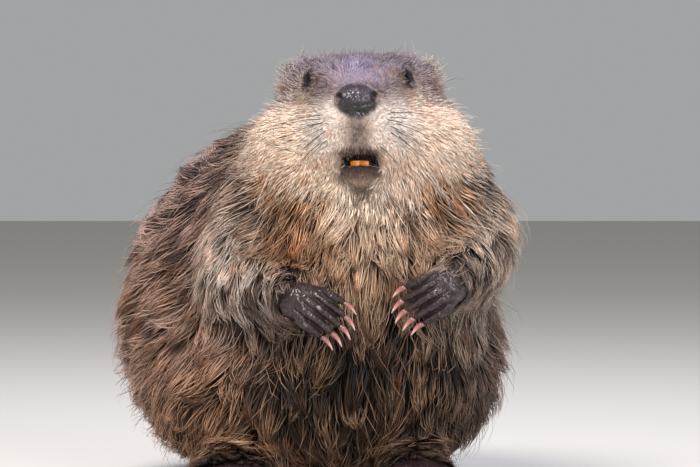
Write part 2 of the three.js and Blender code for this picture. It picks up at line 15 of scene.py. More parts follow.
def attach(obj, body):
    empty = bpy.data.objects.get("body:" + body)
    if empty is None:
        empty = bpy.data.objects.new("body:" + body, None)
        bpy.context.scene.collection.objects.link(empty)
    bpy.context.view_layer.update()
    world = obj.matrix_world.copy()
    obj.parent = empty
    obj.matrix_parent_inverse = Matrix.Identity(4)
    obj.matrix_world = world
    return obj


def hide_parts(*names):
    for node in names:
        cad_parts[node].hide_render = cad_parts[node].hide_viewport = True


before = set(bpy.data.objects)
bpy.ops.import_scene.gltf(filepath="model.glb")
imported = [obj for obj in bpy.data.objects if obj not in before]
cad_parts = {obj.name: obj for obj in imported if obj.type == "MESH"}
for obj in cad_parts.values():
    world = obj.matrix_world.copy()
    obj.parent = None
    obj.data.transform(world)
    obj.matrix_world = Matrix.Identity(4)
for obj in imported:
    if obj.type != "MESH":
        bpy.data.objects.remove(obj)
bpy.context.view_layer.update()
HEAD_ON_FLOOR = np.array((0.0392, -0.18389, 0.0))  # the floor under the middle of the head, in metres


def mm(x, y, z):
    return Vector(HEAD_ON_FLOOR + np.array((x, y, z)) * 0.001)


def to_mm(metres):
    return (np.asarray(metres) - HEAD_ON_FLOOR) * 1000


# %% [markdown]
# The camera looks at the face from far away through a long lens, a little above the floor, so the
# animal shows with almost no perspective.

# %% Camera
FRAME_WIDE = 609.0  # what the frame holds across, at the chest
CAMERA_FAR = 5000.0
CAMERA_RISE = math.radians(2.0)
aim = mm(-9.6, -100, 227.5)
camera_data = bpy.data.cameras.new("camera")
camera_data.sensor_width = 36.0
camera_data.lens = 36.0 * CAMERA_FAR / FRAME_WIDE
camera_data.clip_end = 50.0
camera = bpy.data.objects.new("camera", camera_data)
bpy.context.scene.collection.objects.link(camera)
camera.location = aim + Vector((0, -math.cos(CAMERA_RISE), math.sin(CAMERA_RISE))) * CAMERA_FAR * 0.001
camera.rotation_euler = (math.pi / 2 - CAMERA_RISE, 0, 0)
bpy.context.scene.camera = camera
print("camera at", [round(c, 3) for c in camera.location], "lens", round(camera_data.lens))

# %% [markdown]
# Colours are written as sRGB hex values, and one function turns them to the linear light that
# shaders work in. One helper adds a node with its settings and links.

# %% Colour and node helpers


def linear(hex_value):
    srgb = np.array([int(hex_value[i:i + 2], 16) for i in (1, 3, 5)]) / 255
    return np.where(srgb <= 0.04045, srgb / 12.92, ((srgb + 0.055) / 1.055) ** 2.4)


def rgba(hex_value):
    return (*linear(hex_value), 1.0)


def new_material(name, **sockets):
    material = bpy.data.materials.new(name)
    material.use_nodes = True
    shader = material.node_tree.nodes["Principled BSDF"]
    for socket, value in sockets.items():
        shader.inputs[socket.replace("_", " ")].default_value = value
    return material, material.node_tree, shader


def plug(tree, node, links):
    for socket, source in dict(links).items():
        tree.links.new(source, node.inputs[socket])


def add(tree, kind, links=(), inputs=(), **settings):
    """A node with its settings, the values of its inputs, and links into its inputs."""
    node = tree.nodes.new(kind)
    for name, value in settings.items():
        setattr(node, name, value)
    for socket, value in dict(inputs).items():
        node.inputs[socket].default_value = value
    plug(tree, node, links)
    return node


print("helpers ready")

# %% [markdown]
# Floor and light are those of a small studio: a pale floor, one large soft lamp above the camera, a
# wide fill lower down on the other side, one from above and behind, and a pale room all round.

# %% Floor and light
bpy.ops.mesh.primitive_plane_add(size=14.0, location=(0, 0, 0))
floor = bpy.context.object
floor.name = "studio_floor"
# floor paint: pale and matt, so it shows soft shadows and no reflection
floor_paint, _, _ = new_material("matt pale studio floor", Base_Color=rgba("#BDBAB4"), Roughness=0.85)
floor.data.materials.append(floor_paint)


def soft_lamp(name, place, target, size, watts, colour):
    lamp = bpy.data.lights.new(name, "AREA")
    lamp.shape = "DISK"
    lamp.size = size
    lamp.energy = watts
    lamp.color = linear(colour)
    holder = bpy.data.objects.new(name, lamp)
    bpy.context.scene.collection.objects.link(holder)
    holder.location = place
    holder.rotation_euler = (target - Vector(place)).to_track_quat("-Z", "Y").to_euler()


chest = mm(0, -60, 210)
soft_lamp("key", (-0.9, -2.2, 2.6), chest, 1.3, 140, "#FFF6EC")
soft_lamp("fill", (1.3, -2.5, 0.75), chest, 1.8, 62, "#F6F4FA")
soft_lamp("top", (0.1, 0.6, 2.4), chest, 1.8, 55, "#E9ECFF")
world = bpy.data.worlds.new("pale room")
bpy.context.scene.world = world
world.use_nodes = True
world.node_tree.nodes["Background"].inputs["Color"].default_value = rgba("#C9CBCC")
world.node_tree.nodes["Background"].inputs["Strength"].default_value = 0.62
bpy.context.scene.view_settings.view_transform = "Standard"

# %% [markdown]
# The skin starts as copies of the flesh solids, which join into one closed hide. The copies swell a
# hair so that the thin cuts between them close, and a voxel remesh fuses them. Trunk and head take a
# coarse net. Ears, paws and feet are thin and get a fine one of their own.

# %% Fuse the flesh
FINE = ["ear_right", "ear_left", "forepaw_right", "forepaw_left", "hind_foot_right", "hind_foot_left"]
BARE = ("eye", "incisor", "fore_claw", "hind_claw")
FLESH = sorted(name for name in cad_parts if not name.startswith(BARE))


def only(*chosen):
    bpy.ops.object.select_all(action="DESELECT")
    for item in chosen:
        item.select_set(True)
    bpy.context.view_layer.objects.active = chosen[0]


@contextmanager
def editing():
    bpy.ops.object.mode_set(mode="EDIT")
    yield
    bpy.ops.object.mode_set(mode="OBJECT")


def modified(item, kind, **settings):
    """Gives the object a modifier with these settings, and applies it."""
    modifier = item.modifiers.new("change", kind)
    for name, value in settings.items():
        setattr(modifier, name, value)
    only(item)
    bpy.ops.object.modifier_apply(modifier="change")


def joined(name, *chosen):
    only(*chosen)
    bpy.ops.object.join()
    item = bpy.context.object
    item.name = item.data.name = name
    return item


def copies(names):
    made = []
    for name in names:
        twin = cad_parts[name].copy()
        twin.data = twin.data.copy()
        twin.parent = None
        bpy.context.scene.collection.objects.link(twin)
        made.append(twin)
    return made


def filler(centre, radii):
    """A ball of flesh that fills a hollow between two solids."""
    bpy.ops.mesh.primitive_uv_sphere_add(segments=24, ring_count=16, radius=0.001, location=mm(*centre))
    bpy.context.object.scale = radii
    bpy.ops.object.transform_apply(location=True, rotation=True, scale=True)
    return bpy.context.object


def fused(name, names, voxel, swell=0.6, extra=()):
    body = joined(name, *copies(names))
    with editing():
        bpy.ops.mesh.select_all(action="SELECT")
        bpy.ops.mesh.remove_doubles(threshold=1e-6)
        bpy.ops.transform.shrink_fatten(value=swell * 0.001)
    if extra:
        body = joined(name, body, *extra)
    modified(body, "REMESH", mode="VOXEL", voxel_size=voxel * 0.001)
    print(name, len(body.data.polygons), "faces")
    return body


eye_copies = copies(["eye_right", "eye_left"])
heels = [filler((-95, -2, 22), (22, 32, 24)), filler((47, -14, 22), (22, 32, 24))]
heels += [filler((-103, -36, 16), (26, 30, 19)), filler((52, -50, 16), (26, 30, 19))]
gape = [filler((0, -116, 290), (15, 21, 11)), filler((0, -122, 300), (12, 12, 10))]
body = fused("hide", [n for n in FLESH if n not in FINE], 4.4, extra=eye_copies + heels + gape)
WRISTS = [((-60, -118, 172), (-106, -56, 184)), ((79, -118, 185), (104, -50, 210))]
wrists = [filler(np.array(wrist) * (1 - share) + np.array(elbow) * share, (radius,) * 3)
          for wrist, elbow in WRISTS for share, radius in ((-0.1, 14), (0.08, 14), (0.24, 15), (0.4, 16))]
paws = fused("paws", ["forepaw_right", "forepaw_left"], 1.0, swell=-0.4, extra=wrists)
feet = fused("feet", ["hind_foot_right", "hind_foot_left"], 2.8, swell=0.1)
ears = fused("ears", ["ear_right", "ear_left"], 1.5, swell=0.1)

# %% [markdown]
# Shaping goes on in code, as with sculpting brushes. Small functions read and write the points of a
# mesh in the animal's own millimetres, relax them like a smooth brush, and paint a soft-edged patch
# of any value, such as a depth or a colour.

# %% Brushes
HEAD_PIVOT = np.array((0.0, -30.0, 310.0))
HEAD_TURN = np.array(Euler((0, math.radians(-1.5), math.radians(-1.5))).to_matrix())


def numbers_of(items, what, each, kind):
    values = np.empty(len(items) * each, kind)
    items.foreach_get(what, values)
    return values.reshape(-1, each)


def read(items, what="co"):
    return numbers_of(items, what, 3, np.float32).astype(np.float64)


def points_of(mesh):
    return to_mm(read(mesh.vertices))


def move_to(mesh, points):
    metres = (points * 0.001 + HEAD_ON_FLOOR).astype(np.float32)
    mesh.vertices.foreach_set("co", metres.ravel())
    mesh.update()


def normals_of(mesh):
    return read(mesh.vertex_normals, "vector")


def edges_of(mesh):
    return numbers_of(mesh.edges, "vertices", 2, np.int32)


def relaxed(points, edges, strength, rounds, hold_volume=False):
    """Each point moves towards the mean of its neighbours, by its own strength from 0 to 1."""
    first, second = edges.T
    count = np.maximum(np.bincount(edges.ravel(), minlength=len(points)), 1)[:, None]
    points = points.copy()
    for step in range(rounds):
        around = np.stack([
            np.bincount(first, points[second, axis], len(points))
            + np.bincount(second, points[first, axis], len(points)) for axis in range(3)], 1)
        pull = -0.53 if hold_volume and step % 2 else 0.5
        points += (around / count - points) * strength[:, None] * pull
    return points


def ease(value):
    value = np.clip(value, 0, 1)
    return value * value * (3 - 2 * value)


def patch(points, centre, radii, soft=0.3):
    """1 inside an egg-shaped patch and 0 outside, with a soft edge."""
    far = np.linalg.norm((points - np.array(centre)) / np.array(radii), axis=1)
    return ease((1 + soft - far) / (2 * soft))


def painted(points, base, patches):
    """The base value, painted over with each patch in turn. A paint is a number or a colour."""
    value = np.ones((len(points), 1)) * np.asarray(base, float)
    for centre, radii, soft, paint in patches:
        share = patch(points, centre, radii, soft)[:, None]
        paint = linear(paint) if isinstance(paint, str) else np.asarray(paint)
        value = value * (1 - share) + paint * share
    return value


def both(centre, radii, soft, paint):
    """The same patch on the right and on the left."""
    x, y, z = centre
    return [((-x, y, z), radii, soft, paint), ((x, y, z), radii, soft, paint)]


def at_feet(radii, soft, paint, y=-60):
    """The same patch round each hind foot."""
    return [((x, y, 10), radii, soft, paint) for x in (-106, 54)]


def in_head(points):
    """Points of the animal, in the upright frame of its head."""
    return (points - HEAD_PIVOT) @ HEAD_TURN + HEAD_PIVOT


def from_head(points):
    return (points - HEAD_PIVOT) @ HEAD_TURN.T + HEAD_PIVOT


print("brushes ready")

# %% [markdown]
# The net is refined in steps where the face needs it: twice as fine over the muzzle and cheeks, and
# again round the eyes, nose and mouth. Then everything is relaxed, most on the trunk.

# %% Refine the face
EYE = np.array((38.5, -86.0, 361.0))
EYES = [EYE * (s, 1, 1) for s in (-1, 1)]
EYE_R = 6.8
NOSE = np.array((0.0, -138.0, 344.0))


def refine(item, balls):
    """Splits every face whose middle lies in one of the balls, given as (centre, radius)."""
    mesh = item.data
    middles = in_head(to_mm(read(mesh.polygons, "center")))
    chosen = np.zeros(len(middles), bool)
    for centre, radius in balls:
        chosen |= np.linalg.norm(middles - np.array(centre), axis=1) < radius
    only(item)
    with editing():
        bpy.ops.mesh.select_mode(type="FACE")
        bpy.ops.mesh.select_all(action="DESELECT")
    mesh.polygons.foreach_set("select", chosen)
    with editing():
        bpy.ops.mesh.subdivide(number_cuts=1, smoothness=0)
    print("refined to", len(mesh.polygons), "faces")


def relax(item, strength, rounds, hold_volume=False):
    points = points_of(item.data)
    move_to(item.data, relaxed(points, edges_of(item.data), strength(points), rounds, hold_volume))


def trunk_only(points):
    return 1 - patch(points, (0, -60, 330), (110, 110, 90), 0.15) * 0.8


relax(body, trunk_only, 40)
refine(body, [((0, -125, 320), 70), *[(eye, 26) for eye in EYES]])
relax(body, lambda p: patch(p, (0, -110, 320), (80, 60, 80), 0.3) * 0.9, 8)
refine(body, [(NOSE, 27), ((0, -134, 322), 24), ((0, -132, 287), 27), *[(eye, 15) for eye in EYES]])
relax(body, lambda p: patch(p, (0, -130, 320), (60, 60, 60), 0.3) * 0.8, 6)

# %% [markdown]
# The paws get four furrows between their fingers and fine folds across. The backs of the hands are
# relaxed the most. The ears shrink towards their roots, by about the depth of their fur.

# %% Paws, feet and ears
PAW_BACKS = ((-60, -128, 178), (84, -128, 191))


def paw_backs(points):
    return np.maximum(*[patch(points, centre, (19, 40, 20), 0.4) for centre in PAW_BACKS])


def groove(across, width):
    return np.exp(-(across / width) ** 2)


# each hand: its side, its palm, and the way its fingers reach; then the gaps between the fingers
HANDS = [(-1, (-43, -134, 167), (0.71, 0, -0.71)), (1, (66, -134, 177), (-0.79, 0, -0.61))]
FURROW_WIDE, FURROW_DEEP, FOLD_DEEP = 1.25, 3.4, 0.2
GAPS = [((-13.5, -16.7), 17), ((-6.2, -8.8), 24), ((2.8, 0.3), 25), ((12.0, 9.3), 22)]


def shape_fingers(p):
    """Presses a furrow between each two fingers, and fine folds across them."""
    for s, palm, reach in HANDS:
        reach = np.array(reach)
        sideways = np.array((-s * reach[2], 0, s * reach[0]))
        across, ahead = (p - palm) @ sideways, (p - palm) @ reach
        mine = (p[:, 0] * s > 0) & (p[:, 1] < -126)
        furrow = 0
        for (root, tip), end in GAPS:
            line = root + (tip - root) * np.clip(ahead / 24, -0.4, 1)
            furrow = furrow + groove(across - line, FURROW_WIDE) * ease((end + 3 - ahead) / 3)
        furrow *= ease((ahead + 14) / 14)
        folds = np.sin(ahead * 2.1 + 0.5 * np.sin(across)) * ease((ahead + 4) / 6)
        p[:, 1] += (FURROW_DEEP * furrow + FOLD_DEEP * folds) * mine
    return p


relax(paws, lambda p: np.full(len(p), 0.7), 8, hold_volume=True)
relax(paws, paw_backs, 50)
move_to(paws.data, shape_fingers(points_of(paws.data)))
relax(paws, lambda p: np.full(len(p), 0.5), 1)
relax(feet, lambda p: np.ones(len(p)), 6)
relax(ears, lambda p: np.ones(len(p)), 5)
EAR_ROOTS = {"right": np.array([[-62.0, -8.0, 352.0]]), "left": np.array([[60.0, -8.0, 355.0]])}
EAR_SHRINK = (0.6, 0.7, 0.55)
EAR_INWARDS = (3, 0, 0)
ear_points = points_of(ears.data)
ear_roots = np.where(ear_points[:, :1] < 0, EAR_ROOTS["right"], EAR_ROOTS["left"])
ear_points = ear_roots + (ear_points - ear_roots) * EAR_SHRINK - (np.sign(ear_roots[:, :1]) * EAR_INWARDS)
move_to(ears.data, ear_points)
print("furrows on", len(HANDS), "hands,", len(ear_points), "ear points")

# %% [markdown]
# The hide lies under the coat, so it is drawn in from the solids by the depth of the coat: most on
# the trunk, little on the face, and nothing on the bare nose and tail. It goes in small steps, which
# keep folds such as the armpits open.

# %% Draw the hide in
DEPTH = [
    ((0, -40, 318), (120, 110, 80), 0.15, 9),
    ((0, -30, 375), (80, 70, 26), 0.3, 6),
    ((0, -125, 318), (48, 50, 46), 0.3, 3.2),
    ((0, -138, 300), (26, 30, 38), 0.3, 2.2),
    ((0, -142, 344), (22, 22, 18), 0.2, 0.0),
    ((0, -138, 281), (19, 20, 16), 0.25, 0.4),
    *both((42, -84, 361), (28, 32, 22), 0.35, 2.0),
    *both((60, -9, 368), (18, 16, 20), 0.3, 4),
    ((-106, -60, 185), (56, 70, 52), 0.25, 9),
    ((104, -60, 200), (50, 70, 56), 0.25, 9),
    ((-56, -122, 171), (20, 24, 24), 0.35, 3.5),
    ((76, -120, 184), (20, 24, 24), 0.35, 3.5),
    *at_feet((40, 60, 34), 0.3, 6),
    ((-124, 282, 30), (70, 60, 60), 0.3, 6),
    ((-122, 420, 10), (90, 150, 60), 0.08, 0.0),
]


def coat_depth(points):
    return painted(points, 14.0, DEPTH)[:, 0]


DRAW_STEPS = 6


def draw_in(item):
    mesh = item.data
    depth = coat_depth(points_of(mesh))
    edges = edges_of(mesh)
    for _ in range(DRAW_STEPS):
        points = points_of(mesh) - normals_of(mesh) * (depth / DRAW_STEPS)[:, None]
        move_to(mesh, relaxed(points, edges, np.clip(depth / 14, 0, 1) * 0.6, 2))
    return depth


depth = draw_in(body)
# folds that would cross themselves at the heels and wrists
TIGHT = [
    ((54, 12, 38), (50, 45, 38)), ((-100, 12, 38), (50, 45, 38)),
    ((88, -116, 193), (24, 22, 22)), ((-66, -114, 178), (24, 22, 22)),
]
relax(body, lambda p: sum(patch(p, *spot) for spot in TIGHT).clip(0, 1), 25)
print("coat depth", depth.min().round(1), "to", depth.max().round(1), "mm")

# %% [markdown]
# The nose is a broad bare pad with a nostril on each side, a crease under them, and a groove that
# runs down to the lip. It is pushed onto an egg shape, and the nostrils are pressed in.

# %% Nose and mouth


def onto_ball(points, centre, radii, share):
    centre, radii = np.array(centre), np.array(radii)
    local = (points - centre) / radii
    far = np.maximum(np.linalg.norm(local, axis=1), 0.2)[:, None]
    return points + (local / far * radii + centre - points) * share[:, None]


def shape_nose(p):
    p = onto_ball(p, NOSE, (19, 12.5, 15), patch(p, NOSE - (0, 5, 0), (20, 13, 16), 0.16))
    p = onto_ball(p, NOSE - (0, 0, 15), (9.5, 9.5, 13), patch(p, NOSE - (0, 6, 18), (10, 9, 11), 0.3))
    front = ease((-130 - p[:, 1]) / 6)
    crease = groove(p[:, 2] - 339.5 - 0.012 * p[:, 0] ** 2, 1.3) * patch(p, NOSE, (17, 30, 14), 0.15)
    p[:, 1] += 1.5 * crease * front
    middle = groove(p[:, 0], 1.2) * patch(p, NOSE - (0, 5, 20), (8, 20, 17), 0.2)
    p[:, 1] += 1.2 * middle * front
    for s in (-1, 1):
        hole = NOSE + (s * 15.2, -7.0, 2.0)
        beside = p - hole
        wing = patch(beside, (0, 0, 0), (6.4, 9, 7.0), 0.3) - patch(beside, (0, 0, 0), (3.2, 9, 4.0), 0.35)
        p += np.array((s * 0.6, -0.7, 0.1)) * (wing * front)[:, None]
        pit = patch(beside, (s * 0.4, 0, 0.4), (2.3, 9, 3.7), 0.4)
        p += np.array((-s * 0.35, 0.9, 0.1)) * (pit * 6.0 * front)[:, None]
    return p


MOUTH_MIDDLE = 0.8
MOUTH_HALF = 19.5  # half the width of the gape
LOWER_LIP, UPPER_LIP = 286.8, 291.8  # heights of the two lips
GAPE_DEEP, RIM_DEEP = 21, 8.0


def shape_mouth(p):
    front = ease((-118 - p[:, 1]) / 8)
    side = p[:, 0] - MOUTH_MIDDLE
    taper = 1 + 0.03 * np.clip(284 - p[:, 2], 0, 14)
    lip = patch(np.stack([side * taper, p[:, 1], p[:, 2]], 1), (0, -138, 277), (19, 24, 10), 0.3)
    p[:, 1] -= 3.0 * lip * front
    p[:, 2] += 0.8 * lip * front
    height = p[:, 2] + 0.009 * side ** 2
    wide = ease((MOUTH_HALF - np.abs(side)) / 4.5)
    above_lip = ease((height - LOWER_LIP) / 1.3)
    gape = above_lip * ease((UPPER_LIP - height) / 1.3)
    rim = ease((302 - height) / 7) * above_lip
    p[:, 1] += np.maximum(GAPE_DEEP * gape, RIM_DEEP * rim) * wide * front
    return p


def reshape(item, *changes):
    points = in_head(points_of(item.data))
    for change in changes:
        points = change(points)
    move_to(item.data, from_head(points))


reshape(body, shape_nose, shape_mouth)
relax(body, lambda p: patch(p, (0, -140, 290), (24, 30, 16), 0.2) * 0.5, 3)
relax(body, lambda p: patch(p, (0, -146, 342), (24, 16, 22), 0.2) * 0.35, 2)

# %% [markdown]
# The eyes are small beads that look out sideways. Two lids wrap the ball, with a round opening. Each
# point near an eye is placed by its distance from the eye's own axis: inside the opening it drops
# behind the ball, and outside it lies on the ball as a lid and then flows into the face.

# %% Lids
LOOK = np.array((0.74, -0.65, 0.18)) / np.linalg.norm((0.74, -0.65, 0.18))
OPENING = 5.5
LID = 1.0


def shape_lids(p):
    for s, eye in zip((-1, 1), EYES):
        axis = LOOK * (s, 1, 1)
        local = p - eye
        along = local @ axis
        aside = local - along[:, None] * axis
        far = np.linalg.norm(aside, axis=1)
        near = (np.linalg.norm(local, axis=1) < 34) & (along > -18)
        off = far - OPENING
        snapped = np.sign(off) * np.maximum(np.abs(off) - 0.55, 0.03 * np.abs(off)) * 1.28
        ringed = OPENING + np.where(np.abs(off) < 2.5, snapped, off)
        aside = aside * (ringed / np.maximum(far, 1e-6))[:, None]
        ball = np.sqrt(np.maximum((EYE_R + LID) ** 2 - ringed ** 2, 0.5))
        lid = np.maximum(ball, 5.2 - 0.35 * (ringed - OPENING))
        height = along + (lid - along) * np.exp(-(np.maximum(ringed - OPENING - 1.5, 0) / 8.0) ** 2)
        behind = np.sqrt(np.maximum(EYE_R ** 2 - ringed ** 2, 0)) - 1.6
        height = np.where(ringed < OPENING, np.minimum(behind, height), height)
        moved = eye + aside + axis * height[:, None]
        p = np.where(near[:, None], moved, p)
    return p


refine(body, [(eye, 12) for eye in EYES])
relax(body, lambda p: sum(patch(in_head(p), eye, (15, 15, 15), 0.3) for eye in EYES) * 0.8, 5)
reshape(body, shape_lids)
relax(body, lambda p: sum(
    patch(in_head(p), eye, (16, 16, 16), 0.3) - patch(in_head(p), eye, (8, 8, 8), 0.1)
    for eye in EYES) * 0.6, 4)

# %% [markdown]
# The fine ears, paws and feet join the trunk by a Boolean union, so hide, palms and soles are one
# closed skin. It stands for all the flesh solids. Its own unwrap gives every tuft its place later.

# %% One skin


def tree_of(points):
    tree = kdtree.KDTree(len(points))
    for number, point in enumerate(points):
        tree.insert(point, number)
    tree.balance()
    return tree


def nearest(tree, points):
    return np.array([tree.find(p)[1] for p in points])


limb_points = {item.name: tree_of(points_of(item.data)) for item in (ears, paws, feet)}
limbs = joined("limbs", ears, paws, feet)
modified(body, "BOOLEAN", operation="UNION", solver="EXACT", object=limbs)
bpy.data.objects.remove(limbs)
skin = body
skin.name = skin.data.name = "skin"
while skin.data.uv_layers:
    skin.data.uv_layers.remove(skin.data.uv_layers[0])
skin.data.uv_layers.new(name="OFBake")
with editing():
    bpy.ops.mesh.select_all(action="SELECT")
    bpy.ops.mesh.dissolve_degenerate(threshold=1e-6)
    bpy.ops.mesh.delete_loose()
    bpy.ops.mesh.quads_convert_to_tris()
    bpy.ops.uv.smart_project(angle_limit=math.radians(66), island_margin=0.002)
bpy.ops.object.shade_smooth()
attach(skin, "root")
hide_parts(*FLESH)

skin_points = points_of(skin.data)
skin_points[:, 2] = np.maximum(skin_points[:, 2], 0.05)
move_to(skin.data, skin_points)
skin_normals = normals_of(skin.data)
skin_tree = tree_of(skin_points)
SAME_POINT = 0.05
limb_of = {name: np.array([tree.find(p)[2] < SAME_POINT for p in skin_points])
           for name, tree in limb_points.items()}
print("skin", len(skin.data.polygons), "triangles,", {name: int(on.sum()) for name, on in limb_of.items()})

# %% [markdown]
# One set of markings colours the skin and the coat alike. Each patch is a place, a size, an edge and
# a colour, all in the frame of the head or of the trunk. Most are the animal's own colours; a few are
# painted sheen and painted shade, noted where they stand. A second value says how bare the skin is.

# %% Markings
HEAD_ZONE = ((0, -40, 325), (114, 138, 84), 0.12)
HEAD_COLOUR_EDGE = 0.24  # the colours of head and trunk blend more widely than their locks
TRUNK_MARKS = [
    ((-60, 120, 240), (150, 170, 170), 0.3, "#5A4A45"),
    ((-150, 20, 150), (70, 150, 120), 0.4, "#7D5E4C"),
    ((-135, 30, 255), (60, 110, 50), 0.5, "#5E4A48"),
    ((-130, -20, 60), (70, 120, 60), 0.5, "#7E5C42"),
    ((130, 40, 220), (60, 130, 100), 0.4, "#5E4E45"),
    # dark belly: partly the belly's own dark fur, partly painted shade under the arms and paws
    ((0, -75, 92), (104, 75, 100), 0.3, "#3C2B1E"),
    *at_feet((60, 70, 40), 0.4, "#2C211B"),
    ((120, -30, 100), (40, 120, 80), 0.4, "#54453B"),
    ((0, -115, 222), (80, 50, 38), 0.4, "#9A765A"),
    ((0, -118, 242), (48, 50, 34), 0.5, "#E2C4A8"),
    ((-54, -98, 230), (46, 44, 21), 0.6, "#855838"),
    ((62, -92, 240), (24, 40, 12), 0.5, "#94745A"),
    ((-100, -50, 220), (38, 50, 44), 0.35, "#AC9484"),
    ((104, -40, 230), (36, 50, 44), 0.35, "#AC9586"),
    ((-80, -95, 174), (44, 46, 22), 0.4, "#5A4A43"),
    ((94, -92, 192), (36, 46, 24), 0.4, "#66564D"),
    ((-122, 420, 12), (90, 152, 60), 0.1, "#4B4448"),
]
HEAD_MARKS = [
    ((0, -20, 320), (105, 105, 72), 0.2, "#B39882"),
    ((0, -70, 290), (112, 105, 62), 0.2, "#F6DCC6"),
    *both((72, -80, 262), (36, 50, 18), 0.6, "#BE9068"),
    ((-50, -96, 252), (40, 44, 15), 0.6, "#9C6E46"),
    # grey crown whose violet tint is a painted sheen of sky light from above
    ((0, -20, 380), (95, 100, 36), 0.3, "#726569"),
    *both((62, -60, 352), (24, 34, 16), 0.5, "#8B7A78"),
    *both((26, -112, 350), (11, 30, 15), 0.6, "#6A5C60"),
    *both((44, -88, 352), (13, 20, 10), 0.6, "#B09C8E"),
    # lilac bridge of the nose: grey-brown fur with a painted sheen of sky light
    ((0, -118, 366), (20, 44, 18), 0.5, "#8B7F98"),
    *both((26, -128, 322), (20, 26, 22), 0.5, "#F4EAE2"),
    ((0, -140, 314), (10, 20, 24), 0.8, "#746763"),
    ((0, -138, 301), (20, 24, 6), 0.4, "#4A403C"),
    ((4, -128, 263), (32, 34, 15), 0.4, "#FFEEDC"),
    *both((40, -86, 361), (10.5, 11, 11), 0.4, "#33282E"),
    ((0, -150, 342), (21, 18, 15), 0.25, "#17141A"),
    # top of the dark nose pad and the fur above it: its violet tint is a painted reflection of the sky
    ((0, -148, 356), (21, 22, 9), 0.6, "#241C2C"),
    # near-black band along the crease under the nostrils: the lower pad's own black and a painted shadow in
    # the crease
    ((0, -150, 337), (16, 16, 4), 0.4, "#0E0D10"),
    ((0.8, -140, 281), (20.5, 36, 9.5), 0.2, "#180B0D"),
    ((0.8, -140, 274), (12, 36, 11), 0.3, "#180B0D"),
    # near-black inside of the gape, above and beside the teeth: painted shadow in the mouth
    ((0.8, -134, 293), (19, 34, 8), 0.25, "#080506"),
]


def markings(points):
    head_points = in_head(points)
    on_head = patch(head_points, *HEAD_ZONE[:2], HEAD_COLOUR_EDGE)[:, None]
    trunk = painted(points, linear("#5C483D"), TRUNK_MARKS)
    return trunk * (1 - on_head) + painted(head_points, trunk, HEAD_MARKS) * on_head


LIP_BARE = 0.6
BARE_SPOTS = [
    ((0, -147, 341), (20, 15, 14.5), 0.3, 1), ((0.8, -138, 281), (19.5, 34, 9), 0.14, LIP_BARE),
    ((0.8, -138, 275), (12, 34, 10), 0.14, LIP_BARE), ((0.8, -128, 294), (16, 30, 6.5), 0.2, LIP_BARE),
    *[(eye, (7.6, 7.6, 7.6), 0.06, 1) for eye in EYES],
]


def bareness(points):
    """1 on the nose, the lids and the tail, less on the lips, and 0 under the coat."""
    head_points = in_head(points)
    spots = [share * patch(head_points, *spot) for *spot, share in BARE_SPOTS]
    return np.maximum.reduce([*spots, patch(points, (-122, 430, 12), (100, 150, 70), 0.06)])


skin_bare = bareness(skin_points)
skin_bare = np.where(limb_of["paws"], ease((-121 - skin_points[:, 1]) / 8 + 0.5), skin_bare)
skin_bare = np.where(limb_of["feet"], ease((-62 - skin_points[:, 1]) / 20 + 0.5), skin_bare)
toes = ease((-66 - skin_points[:, 1]) / 16) * ease((52 - skin_points[:, 2]) / 10)
skin_bare = np.maximum(skin_bare, toes)
skin_marks = markings(skin_points)
leather = linear("#25181A")
for name in ("paws", "feet"):
    share = np.maximum(skin_bare * limb_of[name], toes)[:, None]
    skin_marks = skin_marks * (1 - share) + leather * share
print("bare", round(float(skin_bare.mean()), 3))


def store(mesh, name, values, kind):
    layer = mesh.attributes.new(name, kind, "POINT")
    if kind == "FLOAT_COLOR":
        values = np.concatenate([values, np.ones((len(values), 1))], 1)
        layer.data.foreach_set("color", values.astype(np.float32).ravel())
    else:
        layer.data.foreach_set("value", values.astype(np.float32))


# painted shade: the hide under the coat is painted darker than the locks, so that gaps between them look
# deep
under = 0.55 + 0.45 * skin_bare[:, None]
store(skin.data, "marking", skin_marks * under, "FLOAT_COLOR")
store(skin.data, "bare", skin_bare, "FLOAT")

# hide and leather: rough under the coat, and damp, pebbled and wrinkled where it is bare
hide, tree, shader = new_material(
    "living hide and damp leather", Coat_Roughness=0.2, Specular_IOR_Level=0.25)
marking = add(tree, "ShaderNodeVertexColor", layer_name="marking")
bare_value = add(tree, "ShaderNodeAttribute", attribute_name="bare")
place = {"Vector": add(tree, "ShaderNodeTexCoord").outputs["Object"]}
pebbles = add(tree, "ShaderNodeTexVoronoi", place, {"Scale": 1100.0})
folds = add(tree, "ShaderNodeTexNoise", place, {"Scale": 130.0, "Detail": 3.0})
wrinkles = add(tree, "ShaderNodeTexNoise", place, {"Scale": 330.0, "Detail": 7.0, "Roughness": 0.65})
creases = wrinkles.outputs["Fac"]
grain = add(tree, "ShaderNodeMath", {0: pebbles.outputs["Distance"], 1: creases, 2: creases},
            operation="MULTIPLY_ADD")
soft_bump = add(tree, "ShaderNodeBump", {"Height": folds.outputs["Fac"]},
                {"Strength": 0.8, "Distance": 0.004})
bump = add(tree, "ShaderNodeBump", {"Height": grain.outputs[0], "Normal": soft_bump.outputs["Normal"]},
           {"Strength": 1.0, "Distance": 0.0016})
how_bare = {"Value": bare_value.outputs["Fac"]}
gloss = add(tree, "ShaderNodeMapRange", how_bare, {"To Min": 0.85, "To Max": 0.3})
wet = add(tree, "ShaderNodeMapRange", how_bare, {"From Min": 0.6, "To Max": 0.7})
